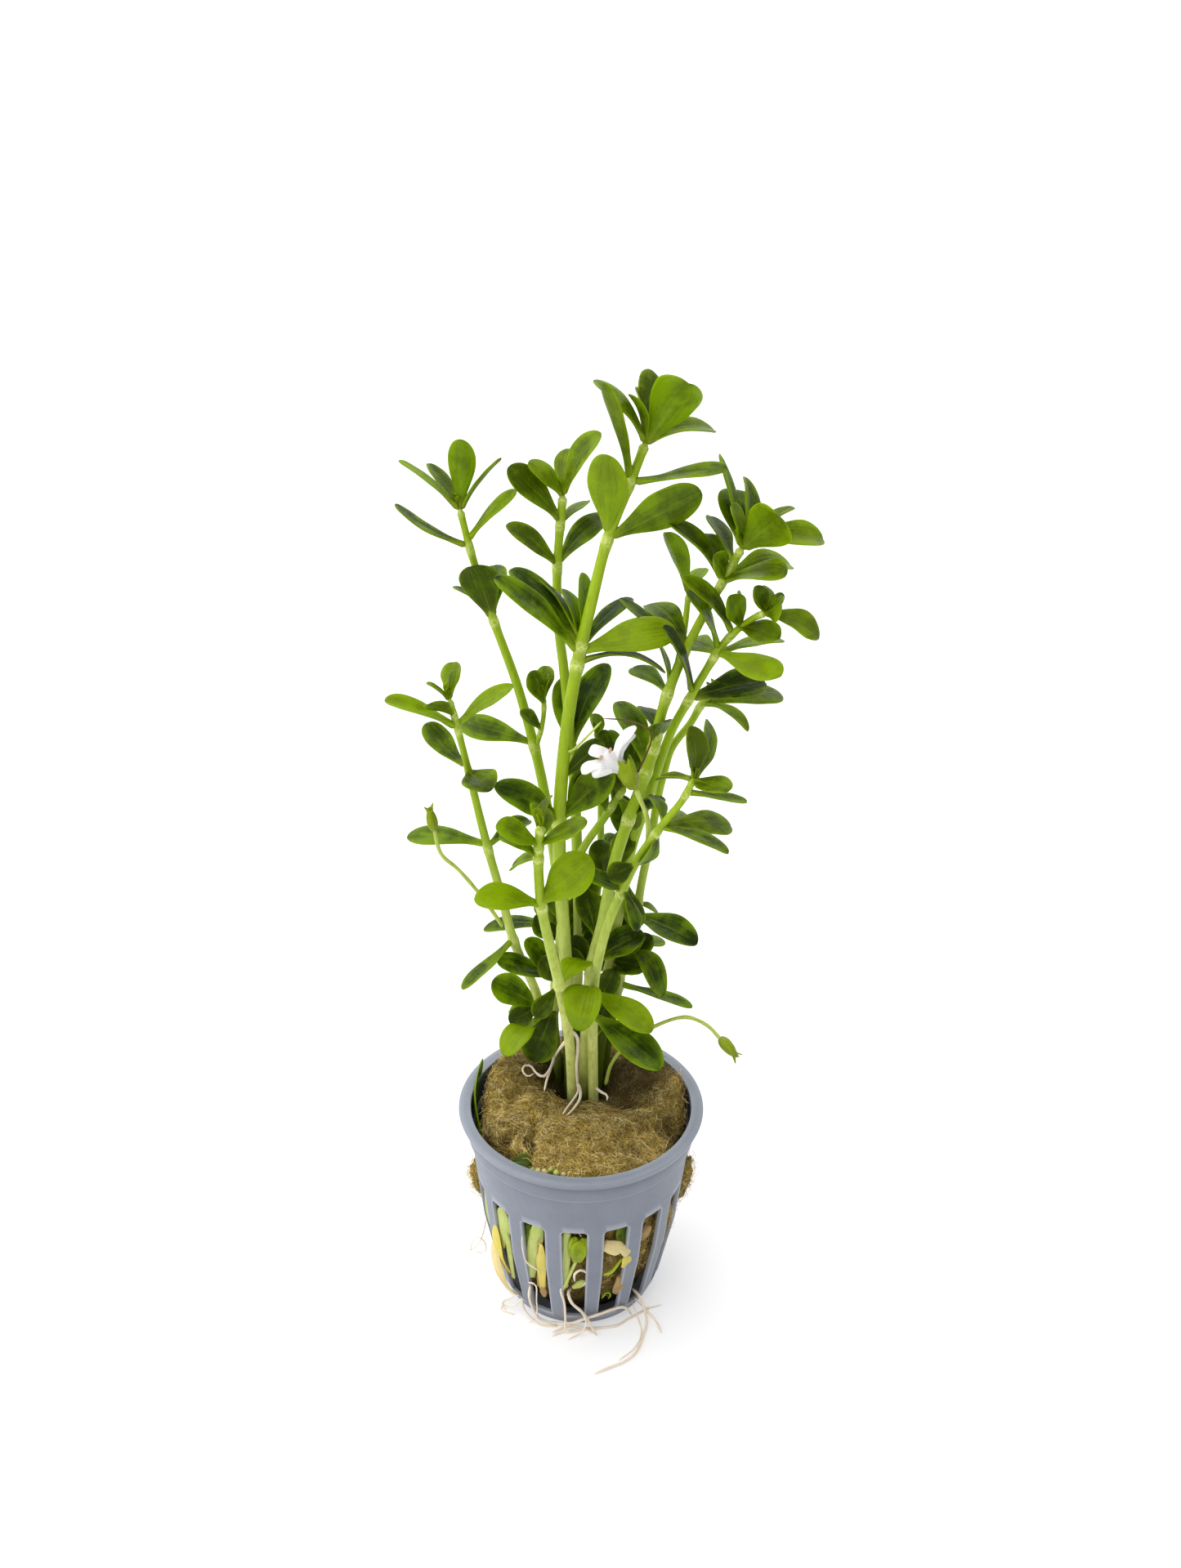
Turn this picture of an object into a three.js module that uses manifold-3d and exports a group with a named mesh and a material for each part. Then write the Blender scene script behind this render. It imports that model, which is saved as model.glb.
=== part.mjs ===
// Potted moneywort: a bunch of leafy shoots standing in rock wool in a slotted net pot.
// Millimetres, +Z up. The origin is the centre of the pot's underside, and -Y is the front.
import * as THREE from "three";
import { mergeVertices } from "three/addons/utils/BufferGeometryUtils.js";
import Module from "manifold-3d";

// Driving dimensions of the pot
const RIM_RADIUS = 27;
const POT_HEIGHT = 48;
const LIP_DEPTH = 1.8;
const LIP_INNER_RADIUS = 24.3;
const LIP_CHAMFER = 0.4;
const BASE_RADIUS = 17.4;
const FLOOR_INNER_RADIUS = 17.2;
const FLOOR_THICKNESS = 1.5;
const WALL_THICKNESS = 1;
const WALL_SIDES = 24;
// Outer radius of the wall by height, from foot to lip
const WALL = [
  [BASE_RADIUS, 0],
  [19.2, 5],
  [22.2, 20],
  [23.9, 36],
  [24.9, POT_HEIGHT - LIP_DEPTH],
];

// Slots in the wall
const SLOT_COUNT = 16;
const FIRST_SLOT_ANGLE = -2.4;
const SLOT_BOTTOM = 3.5;
const SLOT_TOP = 32;
const SLOT_WIDTH_BOTTOM = 4.4;
const SLOT_WIDTH_TOP = 5.5;
const SLOT_CORNER = 0.6;
const SLOT_CUT_FROM = 14;
const SLOT_CUT_DEPTH = 14;

// Rock wool, which touches the wall near the rim and stands back from the slots
const WOOL_SIDES = 16;
const WOOL_TOP = 46.2;
const WOOL_BOTTOM = 1.9;
const WOOL_CROWN_RADIUS = 22.8;
const WOOL_EDGE_GAP = 0.6;
const WOOL_SET_BACK = 2.6;
const WOOL_PROFILE = [
  [0, WOOL_BOTTOM],
  [15.4, WOOL_BOTTOM],
  [WALL[1][0] - WALL_THICKNESS - WOOL_SET_BACK, WALL[1][1]],
  [WALL[2][0] - WALL_THICKNESS - WOOL_SET_BACK, WALL[2][1]],
  [20, 33],
  [WALL[3][0] - WALL_THICKNESS - WOOL_EDGE_GAP, WALL[3][1]],
  [WOOL_CROWN_RADIUS, WOOL_TOP],
  [18.5, WOOL_TOP + 0.6],
  [13.5, WOOL_TOP + 0.4],
  [0, WOOL_TOP],
];
// Humps and hollows of its upper face: [x, y, radius, height]
const WOOL_SWELLS = [
  [-16.5, 12, 9, 3.4],
  [17, 8, 9, 3.4],
  [0, 20, 9, 2.6],
  [-6, -12, 9, 0.8],
  [16, -12, 7, -2.2],
];
// Where it is pushed away from the rim: [x, y, radius, how far]
const WOOL_PINCHES = [
  [-24, 0, 13, 3.4],
  [21, -11, 5, 1.8],
];
// Tufts that push out through two side slots: [slot number from the front, reach, middle height, half height]
const WOOL_TUFTS = [
  [4, 25, 22.6, 8.4],
  [-4, 25.2, 23, 7],
];
const TUFT_HALF_WIDTH = 1.7;
const TUFT_HALF_DEPTH = 3.6;
const TUFT_SIDES = 6;
// The well that the stems stand in
const WELL_CENTRE = [-0.4, 10.3];
const WELL_RADIUS = 8.6;
const WELL_TAPER = 0.6;
const WELL_FLOOR = 38;
const WELL_CUT_HEIGHT = 20;
const WELL_SIDES = 12;

// Blades and stems
const BLADE_THICKNESS = 0.8;
const BLADE_WIDEST = 0.68;
const BLADE_STALK = 0.17;
const LARGE_BLADE_RINGS = [0, 0.34, 0.68, 0.92, 1];
const SMALL_BLADE_RINGS = [0, 0.42, 0.84, 1];
const DEFAULT_ARCH = 0.05;
const STEM_SIDES = 6;
const STEM_STEP = 14;
const ROOT_SIDES = 4;
const ROOT_STEP = 5;
// Leaves whose length times width reaches this are pieces of their own; the rest grow out of their stem
const OWN_LEAF_AREA = 90;
const OWN_LEAF_GAP = 0.5;
// A leaf that leaves its stem at a steep slant starts at most this many times further out
const MOST_SLANT = 2;
// How far below a stem's end its last leaves join it
const TIP_SETBACK = 0.8;

// Corners nearer than this are one corner
const MERGE_DISTANCE = 1e-4;

const COLOURS = {
  pot: 0x9095a0,
  wool: 0xa6986a,
  stem: 0xa8ba5c,
  leaf: 0x5d8a1c,
  petal: 0xf3f3f0,
  calyx: 0x9fb54a,
  root: 0xe2d8bf,
  pale: 0xc3cf7f,
  yellow: 0xdfc75a,
  withered: 0xd8cf97,
};

// Shoots. A route is a list of [x, y, z] up the stem, thick is its radius at foot and tip, and a leaf is
// [height on the stem, azimuth, rise, turn about its own length, length, width, arch].
// Azimuth 0 points to +X, and -90 to the front.
const SHOOTS = {
  tall: {
    thick: [1.45, 0.75],
    route: [
      [-2.5, 9.5, 38.5], [-2.5, 9.2, 46], [-3, 6, 65], [-4, 3, 87], [-5, 1, 106], [-5, -1, 119.5],
      [-3.5, -2, 138.5], [-1.5, -1.5, 151], [0.5, -1, 160.5], [3.5, 0, 173], [7, 1, 182], [10, 2, 190],
    ],
    leaves: [
      [190, -41, 52, 15, 14.5, 9],
      [190, 83, 56, 5, 14.5, 6],
      [190, -166, 47, 35, 14.5, 5.5, 0.12],
      [190, 22, 10, -15, 14, 5.5, 0.1],
      [190, -136, 71, 0, 9.5, 4],
      [190, 105, 64, 0, 10.5, 3],
      [183, -134, 63, 5, 19, 5.5],
      [183, -17, 15, -30, 17.5, 5, -0.04],
      [173.5, -100, 70, -25, 16, 7.5],
      [173, -16, 29, 55, 19, 7.5],
      [151.5, -177, 44, 30, 21.5, 6],
      [152, 4, 14, -45, 18.5, 7.5],
      [152.5, 149, 42, 20, 20.5, 5.5],
      [153.5, 131, 42, -15, 17, 4],
      [150, -4, 0, 0, 16.5, 3.5, 0.12],
      [153.5, 93, 55, -30, 14, 5],
      [152.5, 113, 55, -15, 12.5, 4.5],
      [152.5, 48, 26, 15, 16, 5],
      [117, -163, 36, 45, 15.5, 6.5, 0.1],
      [117, -12, 47, -60, 16, 7, -0.05],
    ],
  },
  middle: {
    thick: [1.1, 0.6],
    route: [
      [0.6, 11.2, 38.5], [0.4, 11.2, 46], [-1.3, 12, 63], [-1, 11, 80.5], [-1.2, 10, 93],
      [-1.6, 9.5, 105], [-2, 9, 116], [-2.8, 9, 127.5], [-4.6, 11, 144.5], [-5.8, 12, 154], [-6, 13, 165],
      [-5, 14, 178.5],
    ],
    leaves: [
      [178.5, -155, 47, 55, 9.5, 5],
      [178, -16, 61, -60, 14, 6],
      [178.5, 80, 54, 25, 10, 5],
      [178, -172, 34, 10, 5, 2.5],
      [173, -161, 45, 60, 15, 6],
      [173, 48, 20, 10, 8.5, 4],
      [165, -166, 43, 55, 12.5, 5],
      [165, 35, 36, -25, 14.5, 6],
      [127.5, 104, 59, 0, 15.5, 6],
      [128.5, 37, 62, -35, 18.5, 6.5],
    ],
  },
  left: {
    thick: [1.1, 0.55],
    route: [
      [-2.4, 13.5, 38.5], [-2.4, 13.5, 46], [-3.8, 13.5, 61], [-4.7, 13, 80], [-5.4, 13, 91.5],
      [-6.7, 14, 103], [-8.5, 15, 115], [-10.7, 16, 125.5], [-14.3, 18, 138.5], [-19.2, 20, 152],
      [-23.2, 21, 164.5], [-25.6, 22, 174],
    ],
    leaves: [
      [174, -67, 84, 50, 14, 5.5],
      [174, -178, 38, 15, 15, 4.5],
      [174, 140, 39, -5, 12, 4.5],
      [174, 15, 49, 0, 13, 3.5],
      [166.5, -176, 27, 20, 16.5, 4.5, -0.04],
      [167.5, 0, 49, -30, 14, 4.5],
      [152, -141, 69, 0, 13, 8],
      [152, 94, 51, -20, 12.5, 7],
      [153, 155, 30, -10, 10, 3],
      [153, 65, 48, 20, 9.5, 3],
      [126.5, 166, 10, 35, 16.5, 6.5],
      [84.5, 169, -5, 10, 18, 5],
    ],
    side: {
      thick: [0.5, 0.4],
      route: [[-10.4, 15.8, 125.5], [-8.8, 14.5, 133], [-8.7, 13.5, 139]],
      leaves: [
        [136, -146, 69, 65, 8, 4.5],
        [137, 86, 53, 0, 7.5, 4],
        [130, -153, 48, 35, 6.5, 3.5],
        [136, 40, 79, 45, 6.5, 3],
      ],
    },
  },
  low_left: {
    thick: [1, 0.5],
    route: [
      [-5.2, 14.6, 38.5], [-5.4, 14.8, 47], [-8, 13.8, 57], [-10.5, 10.5, 69.5], [-15, 7, 84.5],
      [-17.5, 5, 97.5], [-19.7, 3, 108.5], [-23, 0, 127.5], [-24.8, -1.5, 137.5], [-26, -2, 143],
    ],
    leaves: [
      [143, 86, 42, 5, 8, 4.5],
      [143, 1, 77, -25, 6, 3],
      [143, -173, 40, -5, 5.5, 2.5],
      [139.5, -117, 28, -20, 9, 4.5],
      [136.5, -159, 27, 10, 15.5, 5],
      [137, 35, 23, -10, 14, 5],
      [128, 139, 29, -15, 13, 6, -0.08],
      [126.5, -64, 5, -5, 11, 7],
      [109.5, 170, 2, 10, 17, 5.5],
      [109, 47, 9, -5, 12, 5],
      [85, -132, -17, -10, 16, 5, -0.04],
      [64, 179, 31, 25, 13, 7],
      [60, -127, -11, 0, 14, 7, 0.2],
      [61.5, 152, -11, -15, 9, 5],
    ],
  },
  front: {
    thick: [1.15, 0.8],
    route: [
      [-2, 5.5, 38.5], [-2.1, 5.5, 46], [-2.8, 0, 64.5], [-5, -8, 84.5], [-6.6, -13, 96], [-8, -18, 108],
      [-8.3, -21, 119], [-7.7, -24, 127],
    ],
    leaves: [
      [123, 94, 23, -25, 9, 5],
      [122, -150, 36, 15, 10, 5.5],
      [122, -18, 33, 0, 11, 5.5],
      [119, -159, 40, 0, 9, 5],
      [119, 143, -32, 0, 8, 4.5],
      [126.5, 81, 23, 45, 8, 3.5],
      [107, -158, 18, 10, 13.5, 6],
      [108, -25, 49, -45, 15, 8],
      [83, 58, 8, 10, 10, 7],
    ],
    roots: [
      [[-2.9, -1, 67.5], [-1.2, -0.6, 65.5], [-0.9, 0.6, 61], [-1.1, 1.4, 56], [-0.9, 2.4, 51],
        [-0.8, 3, 47.8], [-1.6, 1.6, 47.2], [-3, -1.5, 47.2], [-4, -4, 47.3]],
      [[-0.9, 2.4, 51], [-0.2, 2.4, 48.5], [-0.3, 1.5, 47.2], [-1.6, -1.8, 47.2], [-3, -4.2, 47.2]],
      [[-2.9, 0.2, 64.5], [-4.2, 1, 62], [-5.6, 4, 57.5], [-6, 7.6, 54]],
    ],
  },
  flower: {
    thick: [1.25, 0.5],
    route: [
      [3, 5, 38.5], [2.7, 5, 46], [2.3, 2.5, 63], [2.3, 0, 76], [3, -2, 84.5], [5, -4, 95.5],
      [7.7, -7, 105], [10, -9, 112], [14.5, -14, 122.5], [18, -18, 130], [19.5, -20, 135],
    ],
    leaves: [
      [135, -170, 87, 5, 10, 5],
      [134, -55, 9, -20, 10, 5.5],
      [131.5, -1, -12, 25, 11, 4, 0.02],
      [134, 66, 40, -50, 13, 5],
      [135, 146, -12, -15, 8, 4],
      [123, 103, 20, -15, 8, 4],
      [122, 23, -6, 10, 16, 6],
      [122.5, 52, -16, 15, 13, 5.5],
      [122, -29, -5, 10, 14, 4.5],
      [120.5, 139, -69, 15, 9, 4.5],
      [105, -65, -37, 15, 9, 4],
      [104.5, -159, 30, 5, 9, 5],
      [76.5, -105, 1, -5, 15, 8, 0.28],
      [76, -43, -8, -5, 16.5, 7, 0.12],
      [69.5, -44, -13, 0, 20, 8.5, 0.08],
    ],
    roots: [[[2.7, 4.6, 48.4], [4.4, 3, 48], [5.8, 2, 47.8], [5.7, 0.6, 47.6]]],
  },
  right: {
    thick: [1.2, 0.5],
    route: [
      [3.8, 9.3, 38.5], [3.7, 9.3, 48], [5, 9.5, 65], [6.1, 9, 80], [8, 8, 94.5], [9.6, 7, 106.5],
      [12.3, 6, 117.5], [14.4, 5, 126], [16.8, 3.2, 135], [19.7, 0.5, 142.5], [21.8, 0, 147],
      [25.8, -1, 154.5], [30, -5, 160], [32, -8, 162],
    ],
    leaves: [
      [157.5, -41, -2, -30, 9, 5.5, 0.12],
      [157.5, 86, 49, -40, 7.5, 4],
      [157.5, -129, 60, 40, 8, 5],
      [156, -162, 52, 5, 15, 4.5],
      [162, -135, 61, 10, 6, 3.5],
      [162, 76, 35, -10, 6.5, 3.5],
      [162, -69, 31, 0, 6, 5],
      [161.5, -8, -19, 15, 11, 5.5, 0.15],
      [162, 34, 37, 0, 5, 2],
      [152, -43, -6, -40, 15, 6.5],
      [152, 129, -4, 40, 9.5, 6.5],
      [152.5, -153, 60, 10, 14, 5],
      [151.5, 17, 7, 15, 14, 5.5],
      [143.5, -136, 62, 25, 17, 5],
      [142.5, 18, 9, -15, 16, 7],
      [76.5, -38, 14, -5, 9, 5],
    ],
  },
  low_right: {
    thick: [1, 0.7],
    route: [
      [5.5, 12.8, 38.5], [5.3, 12.8, 48], [6.6, 13, 60], [8.2, 12.5, 70.5], [9.3, 12, 78],
      [11.3, 12, 88.5], [12.6, 12, 98.5], [14, 11, 107.5], [14.8, 11, 115.5], [16, 10, 123],
      [17.4, 10, 128.5], [21, 10, 134], [23, 10, 138], [25, 10, 140],
    ],
    leaves: [
      [138.5, 21, 2, -5, 18, 7.5],
      [138, -31, -19, -20, 11, 4, 0.15],
      [88, -37, -3, -25, 16, 7, 0.1],
      [91.5, 27, -35, -15, 7, 3.5],
      [80, 33, -6, 5, 10, 5],
      [78.5, -49, -19, -15, 13, 5.5, 0.4],
      [70.5, -30, 3, 5, 18, 4, 0],
    ],
  },
  tall_right: {
    thick: [1.3, 0.6],
    route: [
      [0.5, 7.5, 38.5], [0.5, 7.2, 46], [1, 6, 65], [2, 4, 81], [4, 3, 91.5], [6, 1, 106], [8.5, -1, 117],
      [11, -1, 125], [13, -2, 133], [14.5, -1.5, 141], [17.5, 0.6, 149.5], [21, 1, 157.5],
      [24.5, -2, 166], [27.5, -4, 173],
    ],
    leaves: [
      [173, -58, 37, 35, 13.5, 9],
      [173, 18, 2, -15, 16, 6, 0.12],
      [173, 98, 42, 20, 13, 7.5],
      [173, 122, 58, -20, 17.5, 5],
      [173, 75, 65, -25, 13, 5.5],
      [173, 20, 38, 35, 12, 3.5],
      [173, -135, 66, 30, 9, 5],
      [169.5, 113, 33, -5, 12, 5],
      [172.5, -10, 15, -10, 7, 5],
      [166, -41, 15, -25, 14, 6],
      [166.5, 27, 8, 0, 15, 6.5],
      [166.5, -123, 44, 55, 7.5, 5],
      [166, 112, 49, 5, 10, 5],
      [166, 173, 48, 0, 14.5, 5],
      [167, 141, 38, -10, 13, 4],
      [144, 134, 16, 25, 10, 5.5],
      [152.5, 131, 30, 35, 13, 6, 0.12],
      [145.5, 118, 52, -5, 9, 4],
      [151.5, 162, 32, 25, 16, 4.5],
      [136.5, 111, 25, -5, 7.5, 5],
      [133.5, -64, 63, -30, 8, 5],
      [128.5, 117, 40, 5, 16, 6.5],
      [118, 10, 28, 0, 8, 4.5],
      [81, 1, 35, -25, 13, 7],
    ],
    side: {
      thick: [0.65, 0.5],
      route: [[16.9, 0.2, 148], [18.4, 4, 155.5], [19, 6, 162]],
      leaves: [
        [162, -165, 68, 0, 13, 5.5],
        [162, 64, 26, 10, 8, 4.5],
      ],
    },
  },
  back: {
    thick: [0.9, 0.6],
    route: [
      [1.5, 15, 38.5], [1.3, 15, 48], [1.2, 15.5, 69.5], [2.1, 15.5, 84.5], [3.2, 16, 96], [3.3, 18, 112],
      [2.2, 20, 127],
    ],
    leaves: [
      [126, -152, 85, 45, 6, 4],
      [125, 72, -3, 0, 7, 4.5],
      [100.5, 54, 36, 10, 6, 3.5],
      [76, 114, 59, -10, 13.5, 6],
      [71.5, 115, 57, -15, 10, 5.5],
    ],
  },
  inner: {
    thick: [1, 0.7],
    route: [
      [-5.5, 11.5, 38.5], [-5.5, 11.5, 48], [-6.4, 10.5, 63], [-5.3, 8, 82], [-4, 7, 95], [-2.5, 6, 102],
      [0, 5, 108.5], [4, 4, 115.5], [6.5, 3, 120.5], [8, 2, 123.5],
    ],
    leaves: [
      [121, 84, 44, -25, 12, 5],
      [122, 118, 66, -10, 12.5, 5],
      [120.5, 2, -59, -30, 8, 5],
      [118.5, 113, 86, 10, 7, 4],
      [73.5, -149, 32, 15, 17, 6],
      [72.5, -154, 61, 30, 14.5, 6],
      [66, -135, -13, -25, 6, 4],
      [50.5, 157, 25, 0, 10, 6.5],
    ],
    roots: [
      [[-6, 10.7, 53], [-7, 8.5, 50.4], [-8.6, 6.4, 49.4], [-10.2, 7.6, 49.3], [-11.8, 10, 49.6],
        [-13.2, 9.6, 49.8], [-13.3, 7.6, 49.6], [-12, 6.6, 49.2], [-10.9, 6.6, 50]],
      [[-6.8, 9, 50.8], [-7.8, 6, 49], [-8.3, 2.8, 48.2]],
    ],
  },
};
const ROOT_THICK = [0.38, 0.25];

// The open flower, in front of the stems
const THROAT = [6.3, -8.8, 134];
const PETALS = [
  [-170, -6, 10, 7, 4.5],
  [-166, 33, 5, 6.5, 4.5],
  [-150, 66, 0, 6, 4.5],
  [-40, 72, 0, 6, 4.5],
  [-128, -40, 0, 4, 4],
];
const COROLLA_TUBE = { foot: [7.4, -9, 133], tip: [6, -9.6, 135], radius: 1.3 };
const CALYX_FOOT = [9.6, -9, 127.7];
const CALYX_MOUTH = [7.4, -9, 132.6];
const CALYX_RADIUS = 1.8;
const FLOWER_STALK = [
  [9.6, -9, 127.9], [11.2, -10, 124.8], [12.1, -10, 121.4], [12.1, -9.3, 117.7], [11.9, -8.2, 113.8],
];
const DRIED_STALK = [
  [9.4, -9, 130], [11.2, -9, 134.4], [12.2, -9, 137.7], [12, -9, 139.2], [10.3, -8, 140.2],
  [7, -6.6, 140.6],
];
const FLOWER_STALK_THICK = [0.45, 0.4];
const DRIED_STALK_THICK = [0.3, 0.25];

// Closed buds on thin stalks
const BUDS = {
  left_bud: {
    stalk: [[-17.3, 6, 88.5], [-18.2, 5, 91], [-22, 3, 98.5], [-25.8, 1.5, 104.5], [-28.9, 0, 108.7],
      [-30, -1, 115]],
    foot: [-30, -1, 114.4],
    tip: [-30.8, -1, 119.2],
    radius: 1.4,
  },
  right_bud: {
    stalk: [[5.4, 6, 47.6], [6.6, 5.2, 54], [9.6, 5, 59], [15.7, 4, 65], [22.6, 3, 68.3], [27, 2, 67],
      [30.3, 2, 63.3]],
    foot: [30, 2, 63.8],
    tip: [34.2, 2, 58.6],
    radius: 1.7,
  },
};
const BUD_STALK_THICK = [0.4, 0.35];
const OVAL_SIDES = 6;
const OVAL_RINGS = 5;

// Roots that leave the lower slots and lie on the surface
const LOW_ROOTS = {
  left_roots: [
    [[-12.6, -15.2, 5], [-11.5, -16.6, 2], [-8.5, -18.2, 0.5], [-4.5, -18.6, 0.5]],
    [[-12.1, -15.6, 4.4], [-14.6, -14.5, 2], [-17, -12.6, 0.5], [-17.6, -14, 0.5], [-14.4, -15.4, 0.5]],
  ],
  front_roots: [
    [[-1.5, -17.7, 11], [-2.4, -20, 8], [-2.8, -20.4, 3], [-3.1, -20, 0.5], [-5.8, -21.4, 0.5]],
    [[-1.5, -17.7, 11], [-0.6, -20.8, 8.5], [0.8, -20.8, 5], [3, -20.6, 1], [4.2, -20.4, 0.5],
      [0.4, -20.6, 0.5], [-2.9, -20.4, 0.6]],
    [[-2.9, -20.4, 1], [0, -19.4, 0.9], [4.8, -19.2, 0.5], [9, -18.2, 0.5], [13.2, -15.2, 0.5],
      [17, -13, 0.5]],
  ],
  long_root: [
    [[12.1, -12.5, 5.6], [13.7, -14, 5], [14.9, -15.3, 2.6], [15.4, -17.5, 0.5], [13.8, -22.3, 0.5],
      [12.8, -25.5, 0.5], [10.4, -27.7, 0.5], [6.8, -29.5, 0.5], [3.7, -31, 0.5]],
    [[14.9, -15.3, 2.6], [17, -16.4, 0.8], [18.6, -20, 0.5]],
  ],
};
const LOW_ROOT_THICK = [0.45, 0.35];
const LOW_ROOT_STEP = 4.6;

// Old leaves: one between wool and rim, the rest behind the slots. Each is
// [foot, [azimuth, rise, turn, length, width, arch], colour].
const OLD_LEAVES = {
  tucked_leaf: [[-21, -8, 43.4], [92, 25, 80, 19, 5, 0.08], "leaf"],
  yellow_leaf: [[-14.3, -12.8, 8], [-138, 82, 0, 19, 4.2, 0], "yellow"],
  strap_leaf: [[-8.2, -17.5, 10], [-115, 81, 0, 20, 4.2, 0], "pale"],
  slot_leaf: [[-2.1, -18.9, 9], [-96, 82, 0, 20, 2.2, 0], "pale"],
  slot_sprout: [[0.5, -19.4, 13], [-90, 82, 0, 10, 2.6, 0], "leaf"],
  withered_leaf: [[6.8, -18.4, 14.5], [-70, 82, 0, 12, 4.4, 0], "withered"],
};

const manifoldLibrary = await Module();
manifoldLibrary.setup();

const group = new THREE.Group();

function vector(point) {
  return new THREE.Vector3(...point);
}

function direction(azimuth, rise) {
  const a = THREE.MathUtils.degToRad(azimuth);
  const r = THREE.MathUtils.degToRad(rise);
  return new THREE.Vector3(Math.cos(r) * Math.cos(a), Math.cos(r) * Math.sin(a), Math.sin(r));
}

// A closed geometry as a solid that can be joined and cut.
function solidOf(geometry) {
  const bare = geometry.clone();
  bare.deleteAttribute("normal");
  bare.deleteAttribute("uv");
  const merged = mergeVertices(bare, MERGE_DISTANCE);
  return new manifoldLibrary.Manifold(
    new manifoldLibrary.Mesh({
      numProp: 3,
      vertProperties: merged.attributes.position.array,
      triVerts: new Uint32Array(merged.index.array),
    }),
  );
}

function joined(geometries) {
  return geometries.map(solidOf).reduce((whole, next) => whole.add(next));
}

function geometryOf(solid) {
  const mesh = solid.getMesh();
  const geometry = new THREE.BufferGeometry();
  geometry.setAttribute("position", new THREE.BufferAttribute(mesh.vertProperties, 3));
  geometry.setIndex(new THREE.BufferAttribute(mesh.triVerts, 1));
  geometry.computeVertexNormals();
  return geometry;
}

function addPiece(name, solid, colour, roughness = 0.5) {
  const material = new THREE.MeshStandardMaterial({ color: COLOURS[colour], roughness, metalness: 0 });
  const mesh = new THREE.Mesh(geometryOf(solid), material);
  mesh.name = name;
  group.add(mesh);
}

// The smooth line through a route's points, and how many straight steps it is drawn in.
function spineOf(route, step) {
  const curve = new THREE.CatmullRomCurve3(route.map(vector), false, "centripetal");
  return { curve, steps: Math.max(2, Math.round(curve.getLength() / step)) };
}

// A round tube along a route, thinner or thicker from its first point to its last.
function tube(route, thick, sides, step) {
  const { curve, steps } = spineOf(route, step);
  const corners = Array.from({ length: sides }, (_, i) => {
    const turn = (2 * Math.PI * i) / sides;
    return new THREE.Vector2(Math.cos(turn), Math.sin(turn));
  });
  const section = new THREE.Shape(corners);
  const geometry = new THREE.ExtrudeGeometry(section, { steps, extrudePath: curve });
  const centres = curve.getSpacedPoints(steps);
  const place = geometry.attributes.position;
  const vertex = new THREE.Vector3();
  for (let i = 0; i < place.count; i++) {
    vertex.fromBufferAttribute(place, i);
    const at = centres.reduce(
      (best, centre, k) => (vertex.distanceTo(centre) < vertex.distanceTo(centres[best]) ? k : best),
      0,
    );
    const radius = THREE.MathUtils.lerp(thick[0], thick[1], at / steps);
    vertex.sub(centres[at]).multiplyScalar(radius).add(centres[at]);
    place.setXYZ(i, vertex.x, vertex.y, vertex.z);
  }
  return geometry;
}

// Half the width of a blade at t, from 0 at its foot to 1 at its round tip, as a share of its widest.
function bladeWidthAt(t) {
  const swell = 0.5 - 0.5 * Math.cos((Math.PI * Math.min(t, BLADE_WIDEST)) / BLADE_WIDEST);
  const past = Math.max(0, t - BLADE_WIDEST) / (1 - BLADE_WIDEST);
  return (BLADE_STALK + (1 - BLADE_STALK) * swell) * Math.sqrt(Math.max(0, 1 - past * past));
}

// A fleshy blade from foot. up is the way its stem grows, which its upper face looks to before the turn.
// form is [azimuth, rise, turn, length, width, arch], and rows the places of its rings from 0 to 1.
function blade(foot, up, form, rows = LARGE_BLADE_RINGS) {
  const [azimuth, rise, turn, length, width, arch = DEFAULT_ARCH] = form;
  const along = direction(azimuth, rise);
  const across = new THREE.Vector3().crossVectors(along, up).normalize();
  const face = new THREE.Vector3().crossVectors(across, along);
  if (face.dot(up) < 0) {
    across.negate();
    face.negate();
  }
  const angle = THREE.MathUtils.degToRad(turn);
  const side = across.clone().multiplyScalar(Math.cos(angle)).addScaledVector(face, Math.sin(angle));
  const normal = across.clone().multiplyScalar(-Math.sin(angle)).addScaledVector(face, Math.cos(angle));
  const rings = rows.length - 1;
  const geometry = new THREE.SphereGeometry(1, 4, rings);
  const place = geometry.attributes.position;
  const vertex = new THREE.Vector3();
  for (let i = 0; i < place.count; i++) {
    vertex.fromBufferAttribute(place, i);
    const ring = Math.round((Math.acos(THREE.MathUtils.clamp(vertex.y, -1, 1)) / Math.PI) * rings);
    const t = rows[ring];
    const spread = Math.hypot(vertex.x, vertex.z) || 1;
    const open = ring === 0 || ring === rings ? 0 : 1;
    const out = (open * (vertex.x / spread) * width * bladeWidthAt(t)) / 2;
    const lift = (open * (vertex.z / spread) * BLADE_THICKNESS) / 2;
    vertex
      .copy(foot)
      .addScaledVector(along, length * t)
      .addScaledVector(side, out)
      .addScaledVector(normal, lift + arch * length * 4 * t * (1 - t));
    place.setXYZ(i, vertex.x, vertex.y, vertex.z);
  }
  return facingOut(geometry);
}

// The same geometry with its faces turned round if they point inwards.
function facingOut(geometry) {
  const place = geometry.attributes.position;
  const order = geometry.index.array;
  const [a, b, c] = [new THREE.Vector3(), new THREE.Vector3(), new THREE.Vector3()];
  let volume = 0;
  for (let i = 0; i < order.length; i += 3) {
    a.fromBufferAttribute(place, order[i]);
    b.fromBufferAttribute(place, order[i + 1]);
    c.fromBufferAttribute(place, order[i + 2]);
    volume += a.dot(b.cross(c));
  }
  if (volume >= 0) return geometry;
  for (let i = 0; i < order.length; i += 3) {
    [order[i + 1], order[i + 2]] = [order[i + 2], order[i + 1]];
  }
  return geometry;
}

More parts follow.
